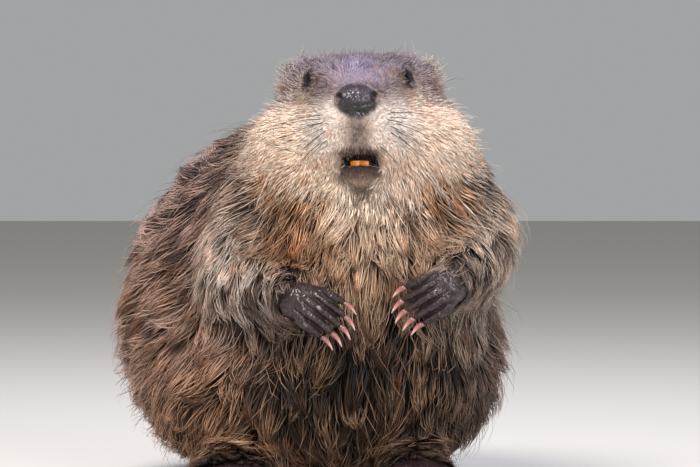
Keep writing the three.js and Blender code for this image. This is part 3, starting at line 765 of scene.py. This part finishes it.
# painted shade and highlight: the colour is darker where the grain's bump is low and lighter where it is
# high, so the hollows of the leather look shaded and its raised bits lit
tone = add(tree, "ShaderNodeMapRange", {"Value": grain.outputs[0]},
           {"From Min": 0.35, "From Max": 0.9, "To Min": 0.4, "To Max": 1.8})
shade = add(tree, "ShaderNodeVectorMath", {0: marking.outputs["Color"], "Scale": tone.outputs["Result"]},
            operation="SCALE")
plug(tree, shader, {
    "Base Color": shade.outputs["Vector"], "Roughness": gloss.outputs["Result"],
    "Normal": bump.outputs["Normal"], "Coat Weight": wet.outputs["Result"],
    "Coat Normal": soft_bump.outputs["Normal"]})
skin.data.materials.clear()
skin.data.materials.append(hide)

# %% [markdown]
# The coat is made of locks: thin closed slivers, each with a root on the skin, a lie along the body
# and a pointed tip. The lie comes from a few guide directions. Noise turns it, and neighbouring locks
# draw together into tufts with dark gaps between them.

# %% The lie of the coat
SIDED = [
    ((50, -60, 362), (.55, .8, -.1)), ((62, -16, 376), (.6, .15, .8)), ((60, -30, 366), (.6, .6, .4)),
    ((24, -130, 330), (.9, .2, -.25)),
    ((45, -110, 315), (.9, .3, -.3)), ((80, -70, 300), (.75, .5, -.35)), ((75, -80, 270), (.6, .4, -.7)),
    ((10, -140, 305), (.25, 0, -1)), ((25, -125, 275), (.6, 0, -.8)), ((40, -100, 220), (.4, 0, -1)),
    ((40, -86, 374), (.25, .9, .3)), ((44, -96, 350), (.6, .6, -.5)), ((85, -40, 320), (.8, .55, -.2)),
    ((22, -112, 240), (.3, 0, -1)),
]
SINGLE = [
    ((0, -115, 358), (0, 1, .15)), ((0, -70, 378), (0, 1, .1)), ((0, -20, 385), (0, 1, -.1)),
    ((0, -130, 262), (0, .1, -1)), ((0, -110, 245), (0, 0, -1)), ((0, 30, 350), (0, .8, -.6)),
    ((-90, 30, 300), (-.8, .5, -.4)), ((90, 20, 290), (.7, .4, -.6)), ((0, -115, 215), (0, 0, -1)),
    ((-100, -30, 235), (-.6, -.1, -.75)), ((-108, -60, 192), (-.15, -.2, -.95)),
    ((-82, -100, 180), (.1, -.2, -1)), ((100, -30, 240), (.6, -.1, -.8)), ((104, -70, 205), (.1, -.3, -.95)),
    ((85, -110, 190), (0, -.2, -1)),
    ((0, -150, 110), (0, 0, -1)), ((0, -170, 60), (0, 0, -1)), ((-150, 0, 200), (-.85, .4, -.4)),
    ((-120, 60, 270), (-.8, .5, -.25)), ((-150, -40, 110), (-.6, .1, -.75)),
    ((-70, -120, 100), (-.25, 0, -1)),
    ((-170, 60, 120), (-.75, .45, -.5)), ((-100, 200, 120), (-.4, .7, -.55)),
    ((-40, 160, 250), (0, .8, -.6)),
    ((140, 40, 200), (.5, .5, -.7)), ((140, 60, 120), (.5, .4, -.75)), ((60, 200, 140), (.4, .6, -.7)),
    ((110, -60, 90), (.35, 0, -.9)), ((-124, 282, 30), (0, 1, -.2)), ((-100, -60, 40), (0, -.5, -.85)),
    ((54, -60, 40), (0, -.5, -.85)),
]


def lie_of(points):
    """The way the coat lies at each point, from the guides near it."""
    head_points = in_head(points)
    total = np.zeros_like(points)
    guides = [((s * x, y, z), (s * u, v, w)) for (x, y, z), (u, v, w) in SIDED for s in (-1, 1)]
    for place, way in guides + SINGLE:
        near = 1 / (((head_points - np.array(place)) ** 2).sum(1) + 400) ** 2
        total += near[:, None] * np.array(way) / np.linalg.norm(way)
    return unit(total)


def unit(vectors):
    return vectors / np.maximum(np.linalg.norm(vectors, axis=-1, keepdims=True), 1e-9)


def flat_to(vectors, normals):
    """The vectors without their part along the normals."""
    return unit(vectors - normals * (vectors * normals).sum(-1, keepdims=True))


def turned(vectors, axes, angles):
    cos, sin = np.cos(angles)[:, None], np.sin(angles)[:, None]
    return vectors * cos + np.cross(axes, vectors) * sin


def swell(points, size, seed):
    """Smooth noise of about -1 to 1, with waves of about the given size in millimetres."""
    waves = np.random.default_rng(seed)
    total = 0
    for _ in range(7):
        way = unit(waves.normal(size=3)) / size * waves.uniform(0.6, 1.5) * 2 * math.pi
        total = total + np.sin(points @ way + waves.uniform(0, 6.28))
    return total / 2.6


skin.data.calc_loop_triangles()
triangles = skin.data.loop_triangles
corner_points = numbers_of(triangles, "vertices", 3, np.int32)
corner_loops = numbers_of(triangles, "loops", 3, np.int32)
loop_uv = numbers_of(skin.data.uv_layers["OFBake"].uv, "vector", 2, np.float32)


def sown(per_mm2, seed):
    """Roots on the skin, so many for each square millimetre: places, normals and UVs."""
    dice = np.random.default_rng(seed)
    a, b, c = (skin_points[corner_points[:, k]] for k in range(3))
    area = np.linalg.norm(np.cross(b - a, c - a), axis=1) / 2
    ends = np.cumsum(area * per_mm2[corner_points].mean(1))
    marks = np.arange(int(ends[-1])) + dice.random(int(ends[-1]))
    face = np.minimum(np.searchsorted(ends, marks), len(ends) - 1)
    share = dice.dirichlet((1, 1, 1), len(face))[:, :, None]
    places, normals, uvs = ((values[face] * share).sum(1) for values in (
        skin_points[corner_points], skin_normals[corner_points], loop_uv[corner_loops]))
    return places, unit(normals), uvs


LIFT_BEND = 1.6  # how soon a lock leaves the skin


def grown(roots, lie, length, rise, curl, steps):
    """Paths that start at the roots and run along the skin, each step a little higher above it."""
    path = [roots]
    place, heading = roots, lie
    for step in range(1, steps + 1):
        place = place + heading * (length / steps)[:, None]
        close = nearest(skin_tree, place)
        normal = skin_normals[close]
        above = ((place - skin_points[close]) * normal).sum(1)
        wanted = rise * (1 - (1 - step / steps) ** LIFT_BEND)
        place = place + normal * np.clip(wanted - above, -length / steps, length / steps)[:, None]
        heading = turned(flat_to(heading, normal), normal, curl / steps)
        path.append(place)
    return np.stack(path, 1)


def gathered(path, centres, share):
    """The paths drawn together towards those of the nearest centre locks, most at their tips."""
    leader = centres[nearest(tree_of(path[centres, 0]), path[:, 0])]
    along = np.linspace(0, 1, path.shape[1])[None, :, None] ** 1.3
    return path + (path[leader] - path) * share[:, None, None] * along, leader


print("coat tools ready")

# %% [markdown]
# Each lock becomes a closed three-sided sliver with a ridge. Its UV is a patch 0.003 across at the
# root's place on the skin's own unwrap. Its colour starts from the skin's marking at the root and
# runs from a dark root to a light tip; the dark root is partly painted shade deep in the coat.

# %% Lock meshes
# how the colour differs over the three corners of a ring, by the rings of a lock: the two lower corners
# are painted darker and the ridge lighter, a painted shade and highlight across each lock (none on whiskers)
EDGE = {rings: np.array([dark, dark, light] * rings + [1.0])[None, :, None]
        for rings, dark, light in ((2, 0.8, 1.1), (3, 0.6, 1.2), (6, 1, 1))}


def slivers(name, path, normals, width, thick, uvs, shades, material):
    """One mesh of closed slivers along the paths, with a colour at each ring of each sliver."""
    count, rings = path.shape[0], path.shape[1] - 1
    along = unit(path[:, 1:] - path[:, :-1])
    side = flat_to(np.cross(along, normals[:, None]), along)
    up = np.cross(side, along)
    profile = np.array({2: [0.8, 1.0], 3: [0.7, 1.0, 0.65], 6: [1, .9, .75, .6, .4, .2]}[rings])
    half = side * (width[:, None] * profile)[:, :, None] / 2
    ridge = up * (thick[:, None] * profile)[:, :, None]
    base = path[:, :-1]
    points = np.stack([base - half, base + half, base + ridge], 2).reshape(count, rings * 3, 3)
    points = np.concatenate([points, path[:, -1:]], 1)
    faces = [(0, 1, 2)]
    for ring in range(rings - 1):
        for k in range(3):
            a, b = ring * 3 + k, ring * 3 + (k + 1) % 3
            faces += [(a, a + 3, b), (b, a + 3, b + 3)]
    last, tip = (rings - 1) * 3, rings * 3
    faces += [(last, tip, last + 1), (last + 1, tip, last + 2), (last + 2, tip, last)]
    ring_of = np.append(np.repeat(np.arange(rings), 3), rings)
    across = np.array([0, 1, 0.5] * rings + [0.5])
    spots = uvs[:, None] + 0.003 * (np.stack([across, ring_of / rings], 1) - 0.5)[None]
    colours = (shades[:, ring_of] * EDGE[rings]).reshape(-1, 3)
    build(name, points.reshape(-1, 3), np.array(faces), spots, colours, material)


def build(name, points, faces, spots, colours, material):
    """A mesh of equal small closed forms, which all have the same faces."""
    points[:, 2] = np.maximum(points[:, 2], 0.5)
    starts = np.arange(0, len(points), faces.max() + 1)
    corners = (faces[None] + starts[:, None, None]).reshape(-1)
    mesh = bpy.data.meshes.new(name)
    mesh.vertices.add(len(points))
    mesh.vertices.foreach_set("co", (points * 0.001 + HEAD_ON_FLOOR).astype(np.float32).ravel())
    mesh.loops.add(len(corners))
    mesh.loops.foreach_set("vertex_index", corners.astype(np.int32))
    mesh.polygons.add(len(corners) // 3)
    mesh.polygons.foreach_set("loop_start", np.arange(0, len(corners), 3, dtype=np.int32))
    mesh.update(calc_edges=True)
    layer = mesh.uv_layers.new(name="OFBake")
    layer.uv.foreach_set("vector", spots.reshape(-1, 2)[corners].astype(np.float32).ravel())
    store(mesh, "marking", colours, "FLOAT_COLOR")
    mesh.materials.append(material)
    mesh.shade_smooth()
    piece = bpy.data.objects.new(name, mesh)
    bpy.context.scene.collection.objects.link(piece)
    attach(piece, "root")


# fur: damp guard hair with a soft sheen; its colour comes from the marking of each lock
fur, tree, shader = new_material("damp beaver guard hair", Roughness=0.5, Specular_IOR_Level=0.45)
tint = add(tree, "ShaderNodeVertexColor", layer_name="marking")
plug(tree, shader, {"Base Color": tint.outputs["Color"]})

# %% [markdown]
# Length, breadth, depth and shade of the coat are painted by region. The number of locks follows from
# length and breadth, so that the coat covers the skin equally everywhere.

# %% The coat by region
LENGTH = [
    ((0, 120, 220), (170, 200, 200), 0.3, 34), ((0, -70, 80), (120, 80, 90), 0.3, 30),
    ((0, -115, 215), (70, 50, 45), 0.3, 24), ((-100, -60, 195), (50, 70, 50), 0.3, 24),
    ((104, -60, 205), (46, 70, 50), 0.3, 24), ((-62, -114, 174), (28, 20, 28), 0.4, 20),
    ((84, -112, 188), (28, 20, 28), 0.4, 20), ((-124, 270, 30), (80, 50, 60), 0.3, 22),
    *at_feet((50, 60, 40), 0.3, 11),
]
HEAD_LENGTH = [
    ((0, -40, 320), (115, 115, 78), 0.15, 15), ((0, -120, 320), (46, 46, 46), 0.3, 7),
    ((0, -135, 310), (26, 30, 34), 0.35, 5), ((0, -120, 356), (28, 40, 18), 0.35, 5.5),
    ((0, -50, 380), (64, 60, 18), 0.35, 12),
    *both((40, -86, 361), (18, 18, 16), 0.3, 4.5), *both((60, -12, 368), (22, 26, 24), 0.3, 19),
    *both((75, -60, 268), (30, 50, 22), 0.4, 24),
    ((0, -125, 262), (50, 34, 18), 0.35, 13),
]
WHOLE_HEAD = ((0, -40, 330), (125, 135, 80), 0.15)
BELLY = ((0, -70, 80), (115, 80, 85), 0.4)
# how dark the roots are, as a share of the marking: partly the hair's own darker roots, partly
# painted shade deep in the coat and in the gaps between tufts, darkest on the belly
ROOT_SHADE = [
    (*BELLY, 0.05), ((0, -115, 220), (76, 50, 45), 0.4, 0.5),
    ((-105, -50, 190), (50, 70, 40), 0.4, 0.16), ((105, -50, 200), (50, 70, 45), 0.4, 0.16),
]
HEAD_ROOT = [(*WHOLE_HEAD, 0.84), ((0, -50, 385), (80, 80, 24), 0.4, 0.4)]
# how unlike each other the tufts are in tone
UNEVEN = [(*BELLY, 0.7), ((0, -115, 215), (70, 50, 45), 0.4, 0.25)]
HEAD_UNEVEN = [(*WHOLE_HEAD, 0.08), ((0, -50, 385), (80, 70, 24), 0.4, 0.35)]
LIGHT_TIPS = [
    # pale tips on the right flank: pale hair tips, with a painted violet sheen and highlight in their colour
    ((-150, 20, 170), (90, 190, 150), 0.4, "#D8B2A0"),
    ((-100, -60, 205), (44, 60, 50), 0.4, "#E8DACD"),
    ((110, -40, 210), (60, 80, 80), 0.4, "#CDBCAA"),
    ((0, -118, 218), (90, 50, 42), 0.4, "#D2B496"),
    ((-130, -20, 75), (70, 120, 50), 0.5, "#CEA080"),
    ((0, -70, 84), (110, 75, 88), 0.4, "#B48E6C"),
    *at_feet((56, 60, 36), 0.5, "#54412F", y=-70),
    ((-54, -98, 232), (44, 44, 19), 0.4, "#AE8764"),
    ((-68, -112, 172), (40, 30, 22), 0.4, "#A08F84"),
    ((88, -106, 188), (36, 30, 22), 0.4, "#AC9B8E"),
]
HEAD_TIPS = [
    ((0, -40, 330), (120, 120, 80), 0.15, "#C4AEA2"),
    # lilac tips on the crown: a painted sheen of sky light from above
    ((0, -60, 385), (70, 90, 26), 0.4, "#A493AC"),
    *both((60, -85, 290), (56, 64, 60), 0.35, "#FBEFE2"),
    *both((62, -10, 370), (24, 24, 22), 0.3, "#E0CBB2"),
    ((-52, -96, 252), (42, 44, 16), 0.5, "#B88E64"),
]


def by_region(points, base, trunk, head):
    head_points = in_head(points)
    on_head = patch(head_points, *HEAD_ZONE)[:, None]
    value = painted(points, base, trunk)
    value = value * (1 - on_head) + painted(head_points, value, head) * on_head
    return value[:, 0] if value.shape[1] == 1 else value


# where the coat stands out more
FULLER = [((-165, 0, 120), (60, 220, 140), 0.4, 1.45), ((135, -20, 200), (50, 140, 110), 0.4, 1.5)]
# past these sides of the trunk the tips lie closer, so that the coat keeps the measured width
WIDEST, CLOSER = (-224, 146), 0.65
HEAD_FULLER = [*both((56, -20, 374), (28, 40, 26), 0.5, 2.2)]
LOCK_FILL = 0.65  # the share of its length times its width that a lock covers
LIMIT = {2: 18500, 3: 11500}  # locks in a piece, by the steps of a lock


def coat(name, zone, seed, steps, cover, tuft, draw, wander, longer, thinner, lift, pale=0.44):
    """Locks over a zone of the skin, of so many steps each. Cover is how many lie over each point, tuft
    how many draw together, draw how closely, wander how unevenly they lie, lift how far they stand out
    of the coat's depth, and pale the share with pale tips."""
    dice = np.random.default_rng(seed)
    skin_length = by_region(skin_points, 32.0, LENGTH, HEAD_LENGTH) * longer
    skin_width = np.interp(skin_length / longer, (4, 7, 13, 22, 32), (0.5, 0.6, 0.8, 1.3, 1.7)) * thinner
    furry = np.clip(1 - skin_bare * 1.6, 0, 1)
    density = cover * zone / (LOCK_FILL * skin_length * skin_width) * furry
    places, normals, uvs = sown(density, seed)
    near = nearest(skin_tree, places)
    count = len(places)
    length = skin_length[near] * dice.uniform(0.7, 1.25, count)
    width = skin_width[near] * dice.uniform(0.7, 1.3, count)
    rise = np.minimum(coat_depth(in_head(places)), length * 0.5) * dice.uniform(*lift, count)
    rise *= by_region(places, 1.0, FULLER, HEAD_FULLER)
    lie = flat_to(lie_of(places), normals)
    angle = swell(places, 70, 3) * 0.2 + swell(places, 20, 4) * 0.17 + dice.normal(0, wander, count)
    curl = swell(places, 30, 5) * 0.3 + dice.normal(0, wander, count)
    path = grown(places, turned(lie, normals, angle), length, rise, curl, steps)
    centres = np.flatnonzero(dice.random(count) < 1 / tuft)
    path, leader = gathered(path, centres, draw * dice.uniform(0.5, 1.15, count))
    streak = swell(places * ((0.3, 0.3, 1) if steps == 2 else (1, 1, 0.35)), 9, seed)
    x = path[:, :, 0]
    path[:, :, 0] -= CLOSER * (np.maximum(x - WIDEST[1], 0) + np.minimum(x - WIDEST[0], 0))
    uneven = by_region(places, 0.42, UNEVEN, HEAD_UNEVEN)
    shade = 1 + (dice.normal(0, 1, count)[leader] + 0.6 * streak) * uneven + dice.normal(0, 0.13, count)
    tone = markings(places) * np.clip(shade, 0.2, 2.6)[:, None]
    # dark roots: partly the hair's colour, partly painted shade down in the coat
    root = by_region(places, 0.2, ROOT_SHADE, HEAD_ROOT)[:, None]
    light = by_region(places, linear("#9A7D6A"), LIGHT_TIPS, HEAD_TIPS)
    red = linear("#A5683E") * (0.4 + 0.6 * tone.mean(1, keepdims=True) / 0.2).clip(0.2, 1.6)
    picks = 0.5 * dice.random(count)[leader] + 0.3 * dice.random(count) + 0.1 + 0.1 * streak
    tip = tone * 1.2
    tip = np.where((picks > 1 - pale)[:, None], light, tip)
    tip = np.where((picks < 0.24)[:, None], red, tip)
    if pale > 0.6:
        tone = tone * 0.4 + light * 0.5
    if steps == 2:
        shades = np.stack([tone * root, tone * 0.6 + tip * 0.4, tip], 1)
    else:
        shades = np.stack([tone * root, tone * (0.35 + 0.5 * root), tone * 0.4 + tip * 0.55, tip], 1)
    order = np.lexsort((places[:, 2], np.round(places[:, 1] / 60)))
    parts = max(1, math.ceil(count / LIMIT[steps]))
    for number, share in enumerate(np.array_split(order, parts)):
        slivers(f"{name}_{number + 1}", path[share], normals[share], width[share], width[share] * 0.35,
                uvs[share], shades[share], fur)
    print(name, count, "locks in", parts, "pieces")


# %% [markdown]
# The head has fine locks that lie almost evenly. The trunk has long damp locks drawn into pointed
# tufts, with sparse guard hair over them that has paler tips. The belly has fewer locks, so its dark
# gaps show. A fringe hides the ears, and a few stray hairs stand out over everything.

# %% Grow the coat
head_zone = patch(in_head(skin_points), *HEAD_ZONE)
trunk_zone = 1 - head_zone
belly = patch(skin_points, (0, -70, 85), (110, 75, 80), 0.3)
EAR_SPOTS = ((-60, -8, 366), (60, -8, 366))
ears_zone = sum(patch(in_head(skin_points), spot, (20, 20, 18), 0.3) for spot in EAR_SPOTS).clip(0, 1)
coat("coat_head", head_zone, 11, 2, 3.4, 8, 0.35, 0.13, 1.0, 0.85, (0.6, 1.2))
coat("coat_body", trunk_zone * (1 - 0.45 * belly), 12, 3, 3.6, 32, 0.98, 0.18, 1.2, 0.75,
     (0.6, 1.3))
coat("guard_body", trunk_zone * (1 - 0.9 * belly), 16, 3, 0.4, 12, 0.95, 0.16, 1.6, 0.55,
     (1.15, 1.5), 0.75)
coat("ear_fringe", ears_zone, 15, 3, 0.7, 3, 0.3, 0.25, 1.4, 0.5, (1.2, 2.4), 0.8)
coat("stray_head", head_zone, 13, 3, 0.09, 1, 0.0, 0.3, 1.6, 0.45, (1.3, 2.3))
coat("stray_body", trunk_zone, 14, 3, 0.1, 3, 0.6, 0.3, 1.7, 0.4, (1.4, 2.2), 0.6)

# %% [markdown]
# Each eye is a small dark wet ball with a slight bulge in front, a brown iris round a wide pupil, and
# a thin line of tears along the lids.

# %% Eyes
# wet cornea: one sharp glint on a ball that is nearly black
wet_eye, tree, shader = new_material("wet dark eye", Roughness=0.04, Specular_IOR_Level=0.25)
facing = add(tree, "ShaderNodeAttribute", attribute_name="facing")
rings = add(tree, "ShaderNodeValToRGB", {"Fac": facing.outputs["Fac"]})
rings.color_ramp.elements[0].color = rgba("#1A0F10")
rings.color_ramp.elements[1].color = rgba("#040304")
rings.color_ramp.elements[1].position = 0.9
iris = rings.color_ramp.elements.new(0.78)
iris.color = rgba("#2E1A12")
plug(tree, shader, {"Base Color": rings.outputs["Color"]})
# tears: clear and wet, a fine bright line along the rim of the lid
tears, _, _ = new_material("tear film on the lids", Roughness=0.05, Base_Color=rgba("#2A2024"))
for s, node_name in ((-1, "eye_right"), (1, "eye_left")):
    centre = from_head(EYE * (s, 1, 1))
    axis = unit(from_head(LOOK * (s, 1, 1)) - from_head(np.zeros(3)))
    bpy.ops.mesh.primitive_uv_sphere_add(
        segments=48, ring_count=32, radius=EYE_R * 0.001, location=mm(*centre))
    eye = bpy.context.object
    with editing():
        bpy.ops.mesh.subdivide(number_cuts=1, smoothness=1)
    bpy.ops.object.transform_apply()
    points = points_of(eye.data)
    ahead = (points - centre) @ axis / EYE_R
    points += axis * (0.45 * ease((ahead - 0.7) / 0.3))[:, None]
    move_to(eye.data, points)
    store(eye.data, "facing", ahead, "FLOAT")
    eye.data.materials.append(wet_eye)
    eye.data.shade_smooth()
    away = math.sqrt(EYE_R ** 2 - OPENING ** 2)
    bpy.ops.mesh.primitive_torus_add(
        major_radius=OPENING * 0.00098, minor_radius=0.00032, major_segments=48, minor_segments=8,
        location=mm(*(centre + axis * away)), rotation=Vector(axis).to_track_quat("Z", "Y").to_euler())
    film = bpy.context.object
    bpy.ops.object.transform_apply()
    film.data.materials.append(tears)
    film.data.shade_smooth()
    eye = joined("eye_ball_" + node_name[4:], eye, film)
    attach(eye, "root")
    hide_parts(node_name)
print("eyes at", [round(float(v), 1) for v in from_head(EYE)])

# %% [markdown]
# The two upper front teeth are curved chisels with orange enamel in front. The lower pair is hidden
# behind the lip.

# %% Teeth
# enamel: hard and even, stained orange by iron, with faint streaks a few millimetres long
enamel, tree, shader = new_material("orange enamel", Roughness=0.4)
place = {"Vector": add(tree, "ShaderNodeTexCoord").outputs["Object"]}
streaks = add(tree, "ShaderNodeTexNoise", place, {"Scale": 420.0, "Detail": 3.0})
shades_of = add(tree, "ShaderNodeValToRGB", {"Fac": streaks.outputs["Fac"]})
shades_of.color_ramp.elements[0].color = rgba("#C26004")
shades_of.color_ramp.elements[1].color = rgba("#E48A14")
plug(tree, shader, {"Base Color": shades_of.outputs["Color"]})
TOOTH_WIDE, TOOTH_DEEP, TOOTH_TALL = 7.9, 4.4, 22
TOOTH_ASIDE, TOOTH_FRONT, TOOTH_TIP = 4.15, -127, 286.4
for s, node_name in ((-1, "incisor_right"), (1, "incisor_left")):
    middle = MOUTH_MIDDLE + s * TOOTH_ASIDE
    centre = mm(middle, TOOTH_FRONT, TOOTH_TIP + TOOTH_TALL / 2)
    bpy.ops.mesh.primitive_cube_add(size=0.001, location=centre)
    tooth = bpy.context.object
    tooth.scale = (TOOTH_WIDE, TOOTH_DEEP, TOOTH_TALL)
    bpy.ops.object.transform_apply()
    with editing():
        bpy.ops.mesh.subdivide(number_cuts=7)
    p = points_of(tooth.data)
    up = (p[:, 2] - TOOTH_TIP) / TOOTH_TALL
    across = (p[:, 0] - middle) / (TOOTH_WIDE / 2)
    back = (p[:, 1] - TOOTH_FRONT) / TOOTH_DEEP + 0.5
    p[:, 1] += 0.9 * across ** 2 * (1 - back) - 3.4 * back * ease(1 - up / 0.22) + 7 * up ** 2
    p[:, 0] -= s * 0.15 * (1 - up)
    p[:, 2] += 0.25 * across ** 2 * (1 - up)
    move_to(tooth.data, from_head(p))
    modified(tooth, "BEVEL", width=0.0006, segments=3)
    tooth.data.materials.append(enamel)
    tooth.data.shade_smooth()
    tooth.name = tooth.data.name = node_name + "_chisel"
    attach(tooth, "root")
    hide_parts(node_name)
print("teeth ready")

# %% [markdown]
# One claw is modelled and then copied to the end of every finger and toe, along the line and at the
# size of the solid it replaces.

# %% Claws
# horn: smooth with fine fibres, pink over the quick and pale where it is thin
horn, tree, shader = new_material("claw horn", Roughness=0.3, Coat_Weight=0.3)
along_claw = add(tree, "ShaderNodeAttribute", attribute_name="along")
fade = add(tree, "ShaderNodeValToRGB", {"Fac": along_claw.outputs["Fac"]})
fade.color_ramp.elements[0].color = rgba("#5A3636")
fade.color_ramp.elements[1].color = rgba("#D8BEB2")
pink = fade.color_ramp.elements.new(0.5)
pink.color = rgba("#A86E6A")
place = {"Vector": add(tree, "ShaderNodeTexCoord").outputs["Object"]}
fibres = add(tree, "ShaderNodeTexNoise", place, {"Scale": 700.0, "Detail": 4.0})
relief = add(tree, "ShaderNodeBump", {"Height": fibres.outputs["Fac"]},
             {"Strength": 0.25, "Distance": 0.0003})
plug(tree, shader, {"Base Color": fade.outputs["Color"], "Normal": relief.outputs["Normal"]})

bpy.ops.mesh.primitive_cone_add(
    vertices=20, radius1=0.001, radius2=0.00018, depth=0.001, end_fill_type="TRIFAN")
pattern = bpy.context.object
with editing():
    bpy.ops.mesh.subdivide(number_cuts=3, smoothness=0)
claw_shape = read(pattern.data.vertices) * 1000
claw_along = claw_shape[:, 2] + 0.5
plump = 1 + 0.35 * np.sin(claw_along * math.pi) * (1 - claw_along)
claw_shape[:, :2] *= plump[:, None]
claw_shape[:, 0] *= 0.8
store(pattern.data, "along", claw_along, "FLOAT")
pattern.data.materials.append(horn)


def claw_on(node_name):
    """A copy of the claw, on the line from the thick to the thin end of the solid it replaces."""
    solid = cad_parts[node_name]
    points = to_mm(np.array([solid.matrix_world @ v.co for v in solid.data.vertices]))
    middle = points.mean(0)
    axis = np.linalg.svd(points - middle)[2][0]
    reach = (points - middle) @ axis
    wide = np.linalg.norm(points - middle - reach[:, None] * axis, axis=1)
    if wide[reach > 0].mean() > wide[reach < 0].mean():
        axis, reach = -axis, -reach
    root, length, radius = middle + axis * reach.min(), np.ptp(reach), wide.max() * 0.92
    side = unit(np.cross(axis, (0, 0, 1)))
    up = np.cross(side, axis)
    bow = 0.16 * length * np.sin(claw_along * math.pi)
    shape = (side * claw_shape[:, :1] + up * claw_shape[:, 1:2]) * radius
    shape = shape + root + axis * (claw_along * length * 0.98)[:, None] + up * bow[:, None] * 0.5
    twin = pattern.copy()
    twin.data = pattern.data.copy()
    bpy.context.scene.collection.objects.link(twin)
    move_to(twin.data, shape)
    twin.data.shade_smooth()
    return twin


for kind in ("fore", "hind"):
    names = sorted(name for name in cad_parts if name.startswith(kind + "_claw"))
    claws = joined(kind + "_claws", *[claw_on(name) for name in names])
    with editing():
        bpy.ops.mesh.select_all(action="SELECT")
        bpy.ops.mesh.normals_make_consistent(inside=False)
    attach(claws, "root")
    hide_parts(*names)
    print(kind, "claws:", len(names))
bpy.data.objects.remove(pattern)

# %% [markdown]
# The tail is covered by small six-sided scales, in rows across it on both faces. Each is a low closed
# dome that laps a little over the next.

# %% Tail scales
# horny scale: dull keratin with tiny pits, dark grey in uneven tones
horny, tree, shader = new_material("horny tail scale", Roughness=0.42)
tint = add(tree, "ShaderNodeVertexColor", layer_name="marking")
place = {"Vector": add(tree, "ShaderNodeTexCoord").outputs["Object"]}
pits = add(tree, "ShaderNodeTexNoise", place, {"Scale": 900.0, "Detail": 4.0})
relief = add(tree, "ShaderNodeBump", {"Height": pits.outputs["Fac"]}, {"Strength": 0.35, "Distance": 0.0004})
plug(tree, shader, {"Base Color": tint.outputs["Color"], "Normal": relief.outputs["Normal"]})
SCALE_LONG, SCALE_WIDE = 5.0, 6.4
dice = np.random.default_rng(31)
ring = np.arange(6) * math.pi / 3
hexagon = np.stack([np.sin(ring) * SCALE_WIDE * 0.56, np.cos(ring) * SCALE_LONG * 0.62], 1)
spots, ups, uvs_at = [], [], []
rows = np.arange(292, 545, SCALE_LONG * 0.86)
for row, y in enumerate(rows):
    for x in np.arange(-200, -44, SCALE_WIDE) + (row % 2) * SCALE_WIDE / 2:
        for start, way in ((70, -1), (-5, 1)):
            hit, point, normal, face = skin.ray_cast(mm(x, y, start), (0, 0, way))
            if hit and skin_bare[skin.data.polygons[face].vertices[0]] > 0.55 and abs(normal.z) > 0.35:
                spots.append(to_mm(point))
                ups.append(normal)
                uvs_at.append(loop_uv[skin.data.polygons[face].loop_start])
spots, ups, uvs_at = np.array(spots), np.array(ups, float), np.array(uvs_at)
count = len(spots)
back = flat_to(np.tile((0.0, 1.0, 0.0), (count, 1)), ups)
across = np.cross(back, ups)
size = dice.uniform(0.9, 1.06, (count, 1, 1))
outline = (across[:, None] * hexagon[None, :, :1] + back[:, None] * hexagon[None, :, 1:]) * size
tilt = (hexagon[:, 1] / SCALE_LONG * 0.35)[None, :, None]
low = spots[:, None] + outline - ups[:, None] * 0.5
high = spots[:, None] + outline * 0.8 + ups[:, None] * (0.45 + tilt)
top = spots[:, None] + ups[:, None] * 0.75
points = np.concatenate([low, high, top], 1).reshape(-1, 3)
faces = []
for k in range(6):
    n = (k + 1) % 6
    faces += [(k, k + 6, n), (n, k + 6, n + 6), (k + 6, 12, n + 6)]
faces = np.array(faces + [(0, n, n + 1) for n in range(1, 5)])
flip = np.linalg.det(np.stack([high[0, 1] - high[0, 0], high[0, 2] - high[0, 0], ups[0]]))
faces = faces if flip < 0 else faces[:, ::-1]
base = linear("#4B4448") * dice.normal(1, 0.12, (count, 1))
# each scale is painted much darker at its sunken rim and a little lighter at its top: painted shade between
# the scales and a painted highlight on each dome
tones = np.concatenate(
    [np.repeat(base[:, None] * 0.35, 6, 1), np.repeat(base[:, None], 6, 1), base[:, None] * 1.15], 1)
spots_uv = uvs_at[:, None] + np.concatenate([hexagon, hexagon * 0.8, [[0, 0]]])[None] * 0.003 / 7
build("tail_scales", points, faces, spots_uv, tones.reshape(-1, 3), horny)
print("tail scales:", count)

# %% [markdown]
# The whiskers are stiff dark hairs, thinner towards the tip. They sweep out and down from the lip.

# %% Whiskers
dice = np.random.default_rng(47)
roots, lies = [], []
for s in (-1, 1):
    for k in range(9):
        roots.append((s * dice.uniform(17, 29), -131, 310 + k * 2.4 + dice.uniform(-1, 1)))
        lies.append((
            s * dice.uniform(0.8, 1), dice.uniform(-0.35, 0.25), -0.75 + 0.1 * k + dice.uniform(-0.1, 0.1)))
roots, lies = from_head(np.array(roots)), unit(np.array(lies))
near = nearest(skin_tree, roots)
roots = skin_points[near]
root_uvs = np.array([loop_uv[corner_loops.ravel()[np.argmax(corner_points == v)]] for v in near])
whisker_length = dice.uniform(26, 52, len(roots))
ts = np.linspace(0, 1, 7)[None, :, None]
path = roots[:, None] + lies[:, None] * ts * whisker_length[:, None, None]
path[:, :, 2] -= (ts[..., 0] ** 2) * whisker_length[:, None] * 0.22
path[:, :, 1] -= np.sin(ts[..., 0] * 2.2) * 8
shades = np.repeat(linear("#2C2222")[None, None], 7, 1) * np.linspace(0.8, 1.8, 7)[None, :, None]
slivers("whiskers", path, skin_normals[near], np.full(len(roots), 0.8), np.full(len(roots), 0.65),
        root_uvs, np.repeat(shades, len(roots), 0), fur)
print("whiskers:", len(roots))
